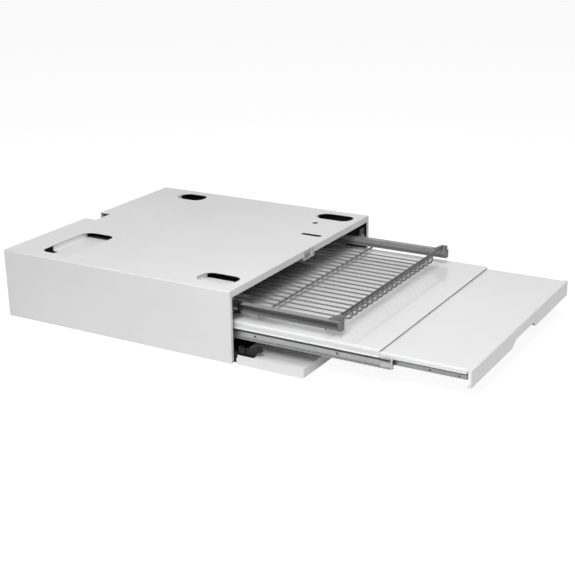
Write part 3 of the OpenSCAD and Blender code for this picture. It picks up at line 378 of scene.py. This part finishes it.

# The cut walls of the hand hold slot and the small hole are painted dark as painted shade.
# Millimetres from the middle, then from the front edge.
CUT_HOLES = [((94.0, 108.0), (17.0, 69.0)), ((179.0, 195.0), (74.0, 88.0))]
HOLE_WALL_PAINTED_SHADE = [(Vector((xs[0] * MM, CASING_LOW.y + ys[0] * MM, CASING_HIGH.z - 2 * SHEET)),
              Vector((xs[1] * MM, CASING_LOW.y + ys[1] * MM, CASING_HIGH.z - SKIN)))
             for xs, ys in CUT_HOLES]

# Spot welds that show through the top as dents, each with a painted highlight. Millimetres from
# the middle, then from the front edge.
WELDS = [(-86, 418), (86, 418), (-86, 520), (86, 520), (-158, 507), (-257, 416)]
DIMPLES = [Vector((x * MM, CASING_LOW.y + y * MM, CASING_HIGH.z)) for x, y in WELDS]


def band(low_z, high_z):
    """A box that holds all of the part between two heights."""
    return Vector((-1.0, -1.0, low_z)), Vector((1.0, 1.0, high_z))


# The rails are painted darker along a band in the lower half of their sides, as painted shade.
RAIL_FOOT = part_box("rack_rail_left")[0][2]
RAIL_PAINTED_SHADE = band(RAIL_FOOT + 1.6 * MM, RAIL_FOOT + 8.0 * MM)

# The upper edge of the middle slide members, under the tray, is painted dark as the tray's painted
# shadow.
MID_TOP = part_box("slide_mid_outer_left")[1][2]
MID_PAINTED_SHADOW = band(MID_TOP - 2.2 * MM, MID_TOP + 1.0 * MM)

MATERIALS = {
    "casing": coat("Casing coat", grey(0.83), dimples=DIMPLES,
                   painted_shade_boxes=[(INNER_LOW, INNER_HIGH)] + HOLE_WALL_PAINTED_SHADE),
    "casing_plates": coat("Inner plate coat", grey(0.83), painted_shade_boxes=[(PLATE_LOW, INNER_HIGH)]),
    "pocket": coat("Pocket coat", grey(0.82), rough=0.45),
    "shelf": coat("Shelf coat", grey(0.86, 0.002), rough=0.36, depth=0.07, gloss=0.5),
    "flap": coat("Flap coat", grey(0.86, 0.002), rough=0.4),
    "rack": coat("Rail paint", grey(0.28, 0.01), rough=0.35, ripple=900.0, depth=0.1, drift=0.06,
                 painted_shade_boxes=[RAIL_PAINTED_SHADE], dark=0.15),
    "wire": coat("Wire paint", grey(0.19), rough=0.3, ripple=900.0, depth=0.1, drift=0.1),
    "guide": coat("Guide paint", grey(0.012), rough=0.5, ripple=800.0, drift=0.2),
    "slide": zinc("Slide zinc", 0.43, spread=0.13),
    "fastener": zinc("Fastener zinc", 0.55, rough=0.3),
    "black_plastic": plastic("Black plastic", 0.01, rough=0.45),
    "pale_plastic": plastic("Pale plastic", 0.55, rough=0.35),
    "grey_plastic": plastic("Grey plastic", 0.17),
    "magnet": plastic("Magnet", 0.3, rough=0.6),
    # The front rod's paint is a darker copy of the wire paint: painted shade for the dark it
    # reflects.
    "rod": coat("Front rod paint with painted shade", grey(0.045), rough=0.3, ripple=900.0, drift=0.1),
    "mid_slide": zinc("Middle slide zinc", 0.43, spread=0.13, painted_shade_boxes=[MID_PAINTED_SHADOW]),
    "inner_slide": zinc("Inner slide zinc", 0.3, spread=0.15),
    "screw": cross_screw("Screw zinc", 0.5),
}

SLOT_MATERIAL = {
    "casing_white": "casing",
    "shelf_white": "shelf",
    "flap_white": "flap",
    "slide_steel": "slide",
    "fastener_steel": "fastener",
    "rack_grey": "rack",
    "guide_black": "guide",
    "black_plastic": "black_plastic",
    "pale_plastic": "pale_plastic",
    "grey_plastic": "grey_plastic",
    "magnet_grey": "magnet",
}
NODE_MATERIAL = {
    "base_plate": "casing_plates",
    "back_panel": "casing_plates",
    "pocket_front_left": "pocket",
    "pocket_front_right": "pocket",
    "pocket_rear_left": "pocket",
    "pocket_rear_right": "pocket",
    "rack_wires": "wire",
    "rack_front_rod": "rod",
    "rack_cross_rods": "wire",
    "slide_mid_outer_left": "mid_slide",
    "slide_mid_outer_right": "mid_slide",
    "slide_inner_left": "inner_slide",
    "slide_inner_right": "inner_slide",
}


def material_of(node):
    return MATERIALS[NODE_MATERIAL.get(node, SLOT_MATERIAL[SLOT_OF[node]])]


# ---- Pieces ----

def linked(name, data):
    """An object for the given data, put into the scene."""
    made = bpy.data.objects.new(name, data)
    bpy.context.scene.collection.objects.link(made)
    return made


def finished_mesh(holder):
    """What the holder's modifiers make of its mesh. The holder and its own mesh are removed."""
    raw = holder.data
    ready = holder.evaluated_get(bpy.context.evaluated_depsgraph_get())
    final = bpy.data.meshes.new_from_object(ready)
    holder.modifiers.clear()
    bpy.data.objects.remove(holder)
    bpy.data.meshes.remove(raw)
    return final


def merged_copy(node):
    """A node's triangles with their shared corners merged, to work on; its caller frees it."""
    work = bmesh.new()
    work.from_mesh(NODES[node].data)
    bmesh.ops.remove_doubles(work, verts=work.verts, dist=SAME_POINT)
    return work


def plain_object(name, mesh, body, material=None, stands_for=()):
    """A finished piece: its mesh holds its place, and it rides on a body."""
    made = linked(name, mesh)
    if material is not None:
        mesh.materials.clear()
        mesh.materials.append(material)
    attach(made, body)
    if stands_for:
        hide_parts(*stands_for)


# Faces that turn less than FLAT_TURN are one flat face, and edges that turn more than SHARP_TURN
# are rounded.
FLAT_TURN = math.radians(0.5)
SHARP_TURN = math.radians(35.0)
ROUNDING_STEPS = 2


def softened(node, width):
    """A copy of a node with its sharp edges rounded, as folded sheet and moulded plastic have."""
    work = merged_copy(node)
    bmesh.ops.dissolve_limit(work, angle_limit=FLAT_TURN, verts=work.verts, edges=work.edges)
    for face in work.faces:
        face.smooth = True
    mesh = bpy.data.meshes.new(node + "_soft")
    work.to_mesh(mesh)
    work.free()
    holder = linked(node + "_holder", mesh)
    bevel = holder.modifiers.new("Edge", "BEVEL")
    bevel.width = width
    bevel.segments = ROUNDING_STEPS
    bevel.limit_method = "ANGLE"
    bevel.angle_limit = SHARP_TURN
    bevel.use_clamp_overlap = True
    level = holder.modifiers.new("Level", "WEIGHTED_NORMAL")
    level.mode = "FACE_AREA"
    level.weight = 100
    level.keep_sharp = True
    plain_object(node + "_rounded", finished_mesh(holder), BODY_OF[node],
                 material_of(node), (node,))


SOFT_EDGES = {
    "casing_shell": 0.55 * MM,
    "base_plate": 0.4 * MM,
    "back_panel": 0.3 * MM,
    "pocket_front_left": 0.5 * MM,
    "pocket_front_right": 0.5 * MM,
    "pocket_rear_left": 0.5 * MM,
    "pocket_rear_right": 0.5 * MM,
    "rear_tray": 0.45 * MM,
    "front_tray": 0.45 * MM,
    "flap_outer_skin": 0.5 * MM,
    "flap_inner_skin": 0.5 * MM,
    "flap_arms": 0.5 * MM,
    "hinge_brackets": 0.4 * MM,
    "rack_rail_left": 0.4 * MM,
    "rack_rail_right": 0.4 * MM,
    "rack_end_caps": 0.8 * MM,
    "rack_guide_left": 0.4 * MM,
    "rack_guide_right": 0.4 * MM,
    "guide_brackets": 0.4 * MM,
    "guide_front_plates": 0.4 * MM,
    "slide_outer_left": 0.3 * MM,
    "slide_outer_right": 0.3 * MM,
    "slide_mid_outer_left": 0.4 * MM,
    "slide_mid_outer_right": 0.4 * MM,
    "slide_mid_inner_left": 0.3 * MM,
    "slide_mid_inner_right": 0.3 * MM,
    "slide_inner_left": 0.35 * MM,
    "slide_inner_right": 0.35 * MM,
    "slide_end_caps": 0.25 * MM,
    "flap_catch": 0.6 * MM,
    "rod_plugs": 0.4 * MM,
}

for node_name, solid in NODES.items():
    solid.data.materials.clear()
    solid.data.materials.append(material_of(node_name))
for node_name, edge in SOFT_EDGES.items():
    softened(node_name, edge)


# ---- Pieces that repeat, made with Geometry Nodes ----

def new_geometry_tree(name, inputs):
    """An empty geometry tree with a mesh in and out and the given (name, kind, default) inputs."""
    tree = bpy.data.node_groups.new(name, "GeometryNodeTree")
    tree.interface.new_socket("Geometry", in_out="INPUT", socket_type="NodeSocketGeometry")
    for label, kind, default in inputs:
        socket = tree.interface.new_socket(label, in_out="INPUT", socket_type=kind)
        socket.default_value = default
    tree.interface.new_socket("Geometry", in_out="OUTPUT", socket_type="NodeSocketGeometry")
    start = tree.nodes.new("NodeGroupInput")
    end = tree.nodes.new("NodeGroupOutput")
    return tree, start.outputs, end.inputs


def xyz(tree, **parts):
    return add(tree, "ShaderNodeCombineXYZ", **parts).outputs[0]


def smoothed(tree, geometry):
    return add(tree, "GeometryNodeSetShadeSmooth", Geometry=geometry).outputs[0]


def coated(tree, geometry, material):
    return add(tree, "GeometryNodeSetMaterial", Geometry=geometry, Material=material).outputs[0]


def moved(tree, geometry, **change):
    return add(tree, "GeometryNodeTransform", Geometry=geometry, **change).outputs[0]


def circle(tree, sides, radius):
    return add(tree, "GeometryNodeCurvePrimitiveCircle", Resolution=sides,
               Radius=radius).outputs[0]


def copies(tree, points, shape, **change):
    """The shape once on each point."""
    return add(tree, "GeometryNodeInstanceOnPoints", Points=points, Instance=shape,
               **change).outputs[0]


def real(tree, geometry):
    """Instances made real, because the export drops them."""
    return add(tree, "GeometryNodeRealizeInstances", Geometry=geometry).outputs[0]


def bake(name, tree, path, body, slot, stands_for, **values):
    """Runs a tree on a mesh of points with edges and facings, and keeps the result as a piece."""
    points, edges, facings = path
    seed = bpy.data.meshes.new(name + "_path")
    seed.from_pydata(points, edges, [])
    if facings:
        stored = seed.attributes.new("facing", "FLOAT_VECTOR", "POINT")
        for item, facing in zip(stored.data, facings):
            item.vector = facing
    holder = linked(name + "_holder", seed)
    modifier = holder.modifiers.new("Tree", "NODES")
    modifier.node_group = tree
    wanted = {key.replace("_", " ").lower(): value for key, value in values.items()}
    for item in tree.interface.items_tree:
        if item.in_out == "INPUT" and item.name.lower() in wanted:
            modifier[item.identifier] = wanted.pop(item.name.lower())
    if wanted:
        raise KeyError(f"{tree.name} has no input {sorted(wanted)}")
    plain_object(name, finished_mesh(holder), body, None, stands_for)


def solids_of(node):
    """The lowest and highest corner of each separate solid in a node, in order of place."""
    work = merged_copy(node)
    left = set(work.verts)
    found = []
    while left:
        reached = [left.pop()]
        part = list(reached)
        while reached:
            for edge in reached.pop().link_edges:
                for vert in edge.verts:
                    if vert in left:
                        left.remove(vert)
                        reached.append(vert)
                        part.append(vert)
        low = Vector([min(vert.co[axis] for vert in part) for axis in (X, Y, Z)])
        high = Vector([max(vert.co[axis] for vert in part) for axis in (X, Y, Z)])
        found.append((low, high))
    work.free()
    return sorted(found, key=lambda pair: tuple(pair[0]))


BEND_STEPS = 8


def tube_on(tree, path, radius, sides, bend=None):
    """A closed tube along the edges in path, with its corners bent round where bend is given."""
    curve = add(tree, "GeometryNodeMeshToCurve", Mesh=path).outputs[0]
    if bend is not None:
        curve = add(tree, "GeometryNodeFilletCurve", {"mode": "POLY"}, Curve=curve, Radius=bend,
                    Count=BEND_STEPS).outputs[0]
    tube = add(tree, "GeometryNodeCurveToMesh", Curve=curve, Fill_Caps=True,
               Profile_Curve=circle(tree, sides, radius))
    return smoothed(tree, tube.outputs[0])


def rack_wire_tree(material):
    """One wire along the given path, repeated side by side."""
    tree, given, end = new_geometry_tree("Rack wires", [
        ("Wire count", INT, 18), ("Pitch", FLOAT, 22.0 * MM), ("First", FLOAT, -0.19),
        ("Wire radius", FLOAT, 1.5 * MM), ("Bend radius", FLOAT, 9.0 * MM)])
    wire = tube_on(tree, given["Geometry"], given["Wire radius"], 12, given["Bend radius"])
    row = add(tree, "GeometryNodeMeshLine", Count=given["Wire count"],
              Start_Location=xyz(tree, X=given["First"]), Offset=xyz(tree, X=given["Pitch"]))
    wires = copies(tree, row.outputs[0], wire)
    tree.links.new(coated(tree, real(tree, wires), material), end["Geometry"])
    return tree


def spring_tree(material):
    """Round wire along the given path."""
    tree, given, end = new_geometry_tree("Spring wire", [("Wire radius", FLOAT, 0.8 * MM)])
    wire = tube_on(tree, given["Geometry"], given["Wire radius"], 10)
    tree.links.new(coated(tree, real(tree, wire), material), end["Geometry"])
    return tree


def bead_tree(name, material):
    """A rounded bead, or a ball where its sizes are equal, on each given point."""
    tree, given, end = new_geometry_tree(name, [
        ("Length", FLOAT, 3.0 * MM), ("Width", FLOAT, 3.0 * MM), ("Height", FLOAT, 2.0 * MM)])
    ball = add(tree, "GeometryNodeMeshIcoSphere", Radius=0.5, Subdivisions=3).outputs[0]
    size = xyz(tree, X=given["Width"], Y=given["Length"], Z=given["Height"])
    beads = copies(tree, given["Geometry"], smoothed(tree, ball), Scale=size)
    tree.links.new(coated(tree, real(tree, beads), material), end["Geometry"])
    return tree


def turned_to_facing(tree):
    """A rotation that turns Z to the facing stored on each point."""
    facing = add(tree, "GeometryNodeInputNamedAttribute", {"data_type": "FLOAT_VECTOR"},
                 Name="facing").outputs[0]
    return add(tree, "FunctionNodeAlignRotationToVector", {"axis": "Z"}, Vector=facing).outputs[0]


def rod(tree, sides, radius, length):
    return add(tree, "GeometryNodeMeshCylinder", Vertices=sides, Radius=radius,
               Depth=length).outputs[0]


def sunk_shank(tree, given, material):
    """A plain round shank that runs from the origin down Z."""
    middle = xyz(tree, Z=math_node(tree, "MULTIPLY", given["Shank length"], -0.5))
    shank = rod(tree, 16, given["Shank radius"], given["Shank length"])
    return coated(tree, moved(tree, shank, Translation=middle), material)


def joined(tree, *parts):
    whole = tree.nodes.new("GeometryNodeJoinGeometry")
    for part in parts:
        tree.links.new(part, whole.inputs[0])
    return whole.outputs[0]


FASTENER_INPUTS = [
    ("Head radius", FLOAT, 3.4 * MM), ("Head height", FLOAT, 0.8 * MM),
    ("Shank radius", FLOAT, 1.8 * MM), ("Shank length", FLOAT, 2.0 * MM)]


def hollow_rivet_tree(material, bore_shade_material):
    """On each given point, a rolled rivet head round a sunken near-black disc that is painted
    shade in its bore, and its shank.
    """
    tree, given, end = new_geometry_tree("Hollow rivets",
                                         FASTENER_INPUTS + [("Bore radius", FLOAT, 1.2 * MM)])
    across = math_node(tree, "ADD", given["Head radius"], given["Bore radius"])
    wall = math_node(tree, "SUBTRACT", given["Head radius"], given["Bore radius"])
    middle = math_node(tree, "MULTIPLY", across, 0.5)
    half = math_node(tree, "MULTIPLY", wall, 0.5)
    roll = add(tree, "GeometryNodeCurveToMesh", Curve=circle(tree, 28, middle),
               Profile_Curve=circle(tree, 12, half)).outputs[0]
    flat = xyz(tree, X=1.0, Y=1.0, Z=math_node(tree, "DIVIDE", given["Head height"], half))
    head = coated(tree, smoothed(tree, moved(tree, roll, Scale=flat)), material)
    sunk = rod(tree, 20, middle, math_node(tree, "MULTIPLY", given["Head height"], 0.5))
    rivet = joined(tree, head, coated(tree, sunk, bore_shade_material), sunk_shank(tree, given, material))
    rivets = copies(tree, given["Geometry"], rivet, Rotation=turned_to_facing(tree))
    tree.links.new(real(tree, rivets), end["Geometry"])
    return tree


def cross_screw_tree(material):
    """On each given point, a domed screw head that stores where its recess goes, and a shank."""
    tree, given, end = new_geometry_tree("Cross screws", FASTENER_INPUTS)
    ball = add(tree, "GeometryNodeMeshUVSphere", Segments=28, Rings=14, Radius=1.0).outputs[0]
    at = tree.nodes.new("GeometryNodeInputPosition").outputs[0]
    marked = add(tree, "GeometryNodeStoreNamedAttribute", {"data_type": "FLOAT_VECTOR"},
                 Geometry=smoothed(tree, ball), Name="on_head", Value=at).outputs[0]
    size = xyz(tree, X=given["Head radius"], Y=given["Head radius"], Z=given["Head height"])
    screw = joined(tree, moved(tree, marked, Scale=size), sunk_shank(tree, given, material))
    screws = copies(tree, given["Geometry"], screw, Rotation=turned_to_facing(tree))
    tree.links.new(coated(tree, real(tree, screws), material), end["Geometry"])
    return tree


def ends_of(node, axis, head_height, ends):
    """Points where the heads of a node's fasteners sit, each with the way that it faces. ends is
    both, low, high, or middle for the end nearer to the middle of the part."""
    points, facings = [], []
    for low, high in solids_of(node):
        centre = (low + high) / 2
        for side, name, face in ((-1, "low", low[axis]), (1, "high", high[axis])):
            inner = (side > 0) == (centre[axis] < 0)
            if ends in ("both", name) or (ends == "middle" and inner):
                place = centre.copy()
                place[axis] = face - side * head_height
                facing = Vector((0, 0, 0))
                facing[axis] = side
                points.append(place)
                facings.append(facing)
    return points, [], facings


def centres_of(node):
    """A point at the middle of each of a node's solids."""
    return [(low + high) / 2 for low, high in solids_of(node)], [], []


WIRE_COUNT = 18
WIRE_RADIUS = 1.5 * MM
WIRE_BEND = 9.0 * MM


def make_rack_wires():
    """The bent wires, and the weld beads where they lie on the rods or end under the front one."""
    low, high = (Vector(p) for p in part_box("rack_wires"))
    foot_z, stand_y = low.z + WIRE_RADIUS, low.y + WIRE_RADIUS
    corners = [(0, stand_y, high.z), (0, stand_y, foot_z), (0, high.y, foot_z)]
    first = low.x + WIRE_RADIUS
    pitch = (high.x - low.x - 2 * WIRE_RADIUS) / (WIRE_COUNT - 1)
    bake("rack_wires_bent", rack_wire_tree(MATERIALS["wire"]), (corners, [(0, 1), (1, 2)], []),
         "rack", "rack_grey", ("rack_wires",), Wire_count=WIRE_COUNT, Pitch=pitch, First=first,
         Wire_radius=WIRE_RADIUS, Bend_radius=WIRE_BEND)
    rods = [centre.y for centre in centres_of("rack_cross_rods")[0]]
    wires_x = [first + i * pitch for i in range(WIRE_COUNT)]
    beads = [(x, y, foot_z - WIRE_RADIUS) for x in wires_x for y in rods]
    ends = [(x, stand_y, high.z) for x in wires_x]
    tree = bead_tree("Weld beads", MATERIALS["wire"])
    bake("rack_wire_welds", tree, (beads, [], []), "rack", "rack_grey", (),
         Length=4.2 * MM, Width=3.4 * MM, Height=2.0 * MM)
    bake("rack_end_welds", tree, (ends, [], []), "rack", "rack_grey", (),
         Length=3.8 * MM, Width=3.8 * MM, Height=1.6 * MM)


HINGE_Y, HINGE_Z = -303.25 * MM, 7.25 * MM
SPRING_RADIUS = 3.35 * MM
SPRING_WIRE = 0.8 * MM
SPRING_STEPS = 24
SPRING_TURNS = 2.25
SPRING_LEG = 16.0 * MM


def make_springs():
    """Both hinge springs: a leg along the arm, SPRING_TURNS round the pin and a leg upwards."""
    tree = spring_tree(MATERIALS["fastener"])
    for side, name in ((-1, "left"), (1, "right")):
        solids = [pair for pair in solids_of("hinge_springs") if side * pair[0].x > 0]
        offsets = [abs((low.x + high.x) / 2) for low, high in solids]
        inner, outer = min(offsets), max(offsets)
        reach = min(low.y for low, high in solids)
        points = [Vector((side * inner, reach, HINGE_Z - SPRING_RADIUS))]
        steps = int(SPRING_STEPS * SPRING_TURNS)
        for i in range(steps + 1):
            angle = 2 * math.pi * i / SPRING_STEPS
            across = inner + (outer - inner) * i / steps
            points.append(Vector((side * across, HINGE_Y + SPRING_RADIUS * math.sin(angle),
                                  HINGE_Z - SPRING_RADIUS * math.cos(angle))))
        points.append(points[-1] + Vector((0, 0, SPRING_LEG)))
        edges = [(i, i + 1) for i in range(len(points) - 1)]
        bake(f"hinge_spring_{name}", tree, (points, edges, []), "flap", "fastener_steel",
             ("hinge_springs",) if name == "left" else (), Wire_radius=SPRING_WIRE)


def make_balls():
    """The balls in the slides' cages, round where the solids have few faces."""
    tree = bead_tree("Slide balls", MATERIALS["fastener"])
    for cage, diameter in (("outer", 2.7 * MM), ("inner", 1.6 * MM)):
        bake(f"{cage}_balls_round", tree, centres_of(f"{cage}_balls"), f"{cage}_cage",
             "fastener_steel", (f"{cage}_balls",), Length=diameter, Width=diameter,
             Height=diameter)


# Black plastic discs in the rivets' bores are painted shade.
RIVETS = hollow_rivet_tree(MATERIALS["fastener"], MATERIALS["black_plastic"])
GUIDE_RIVETS = hollow_rivet_tree(MATERIALS["inner_slide"], MATERIALS["black_plastic"])
SCREWS = cross_screw_tree(MATERIALS["screw"])

# Node, finish, tree, the way its fasteners point, which ends have heads, then FASTENER_SIZES in
# millimetres.
FASTENER_SIZES = ["Head_radius", "Head_height", "Shank_radius", "Shank_length", "Bore_radius"]
FASTENERS = [
    ("slide_mid_rivets", "rolled", RIVETS, X, "both", 3.4, 0.8, 2.0, 1.1, 2.2),
    ("front_tray_rivets", "rolled", RIVETS, X, "both", 2.4, 0.8, 1.6, 0.9, 2.0),
    ("rear_tray_rivets", "rolled", RIVETS, Z, "high", 1.5, 0.9, 0.9, 2.8, 0.5),
    ("guide_rivets", "rolled", GUIDE_RIVETS, Y, "both", 2.6, 1.0, 1.6, 1.5, 0.9),
    ("back_rivets", "rolled", RIVETS, Y, "both", 3.4, 0.9, 2.0, 1.25, 1.2),
    ("slide_screws", "domed", SCREWS, X, "middle", 3.8, 1.2, 2.0, 4.2),
    ("hinge_screws", "domed", SCREWS, X, "middle", 3.8, 1.6, 2.0, 6.0),
    ("catch_screws", "domed", SCREWS, Z, "low", 3.6, 2.0, 1.9, 4.7),
    ("flap_arm_screws", "domed", SCREWS, Z, "high", 3.2, 1.6, 1.8, 3.6),
]

make_rack_wires()
make_springs()
make_balls()
for node, finish, tree, axis, ends, *sizes in FASTENERS:
    given = {label: size * MM for label, size in zip(FASTENER_SIZES, sizes)}
    bake(f"{node}_{finish}", tree, ends_of(node, axis, given["Head_height"], ends),
         BODY_OF[node], SLOT_OF[node], (node,), **given)


# ---- Studio ----

def area_light(name, place, aim, size, power):
    data = bpy.data.lights.new(name, "AREA")
    data.shape = "SQUARE"
    data.size = size
    data.energy = power
    made = linked(name, data)
    made.location = place
    made.rotation_euler = (Vector(aim) - Vector(place)).to_track_quat("-Z", "Y").to_euler()


def camera_or_gloss(tree):
    """1 for a ray from the camera or off a glossy surface, else 0."""
    path = add(tree, "ShaderNodeLightPath").outputs
    return math_node(tree, "MAXIMUM", path["Is Camera Ray"], path["Is Glossy Ray"])


def studio_floor(half, z):
    """Paper under the part. The camera sees it nearly white, with a faint shadow of the part."""
    mesh = bpy.data.meshes.new("Floor")
    corners = [(-half, -half, z), (half, -half, z), (half, half, z), (-half, half, z)]
    mesh.from_pydata(corners, [], [(0, 1, 2, 3)])
    made, tree, surface = empty_material("Floor paper")
    fibre = noise(tree, object_place(tree), 40.0, 4.0)
    paper = add(tree, "ShaderNodeBsdfDiffuse",
                Color=mix_colour(tree, fibre, grey(0.72), grey(0.78)))
    glow = add(tree, "ShaderNodeEmission", Color=grey(1.0), Strength=0.9)
    shaded = add(tree, "ShaderNodeBsdfDiffuse", Color=grey(0.25))
    seen = add(tree, "ShaderNodeAddShader", i0=glow.outputs[0], i1=shaded.outputs[0])
    pick = add(tree, "ShaderNodeMixShader", i0=camera_or_gloss(tree), i1=paper.outputs[0],
               i2=seen.outputs[0])
    tree.links.new(pick.outputs[0], surface)
    mesh.materials.append(made)
    floor = linked("Floor", mesh)


def studio_world(strength):
    """A white backdrop, and a room that is paler above the camera than in front of it."""
    world = bpy.data.worlds.new("Studio")
    world.use_nodes = True
    tree = world.node_tree
    tree.nodes.clear()
    end = tree.nodes.new("ShaderNodeOutputWorld")
    facing = add(tree, "ShaderNodeTexCoord").outputs["Generated"]
    height = add(tree, "ShaderNodeSeparateXYZ", Vector=facing).outputs["Z"]
    tone = mix_colour(tree, ramp(tree, height, -0.2, 0.7), grey(0.55), grey(0.95))
    room = add(tree, "ShaderNodeBackground", Color=tone, Strength=strength)
    white = add(tree, "ShaderNodeBackground", Color=grey(1.0), Strength=1.0)
    pick = add(tree, "ShaderNodeMixShader", i0=camera_or_gloss(tree), i1=room.outputs[0],
               i2=white.outputs[0])
    tree.links.new(pick.outputs[0], end.inputs[0])
    bpy.context.scene.world = world


# The photo is 575 pixels square. These angles and places come from a camera fitted to the
# casing's corners and the edges of the trays in it.
PHOTO_PIXELS = 575
FOCAL_PIXELS = 1163.2
SENSOR = 36.0
CAMERA_AZIMUTH = math.radians(-59.523)
CAMERA_ELEVATION = math.radians(19.486)
CAMERA_ROLL = math.radians(-0.886)
CAMERA_DISTANCE = 2.8339
CAMERA_TARGET = Vector((0.26049, -0.088, -0.04895))


def photo_camera():
    """The camera that took the photo, turned about its own axis by CAMERA_ROLL."""
    back = Vector((math.sin(CAMERA_AZIMUTH) * math.cos(CAMERA_ELEVATION),
                   -math.cos(CAMERA_AZIMUTH) * math.cos(CAMERA_ELEVATION),
                   math.sin(CAMERA_ELEVATION)))
    right = (-back).cross(Vector((0, 0, 1))).normalized()
    up = right.cross(-back)
    turned = right * math.cos(CAMERA_ROLL) + up * math.sin(CAMERA_ROLL)
    raised = up * math.cos(CAMERA_ROLL) - right * math.sin(CAMERA_ROLL)
    data = bpy.data.cameras.new("Photo camera")
    data.sensor_width = SENSOR
    data.lens = FOCAL_PIXELS / PHOTO_PIXELS * SENSOR
    made = linked("Photo camera", data)
    turn = Matrix((turned, raised, back)).transposed().to_4x4()
    made.matrix_world = Matrix.Translation(CAMERA_TARGET + back * CAMERA_DISTANCE) @ turn
    bpy.context.scene.camera = made


FLOOR_HALF = 8.0
FLOOR_Z = -0.5 * MM
ROOM_STRENGTH = 0.22

photo_camera()
studio_floor(FLOOR_HALF, FLOOR_Z)
studio_world(ROOM_STRENGTH)
# Name, place, what it is aimed at, side in metres and power in watts.
area_light("Overhead", (-0.5, -0.75, 2.4), (0.0, -0.2, 0.1), 1.5, 21.0)
area_light("Side", (-2.1, -0.9, 2.1), (-0.1, -0.1, 0.05), 1.0, 37.5)
area_light("Near", (-1.1, -1.0, 0.8), (-0.25, -0.4, 0.0), 0.4, 2.0)
bpy.context.scene.view_settings.view_transform = "Standard"
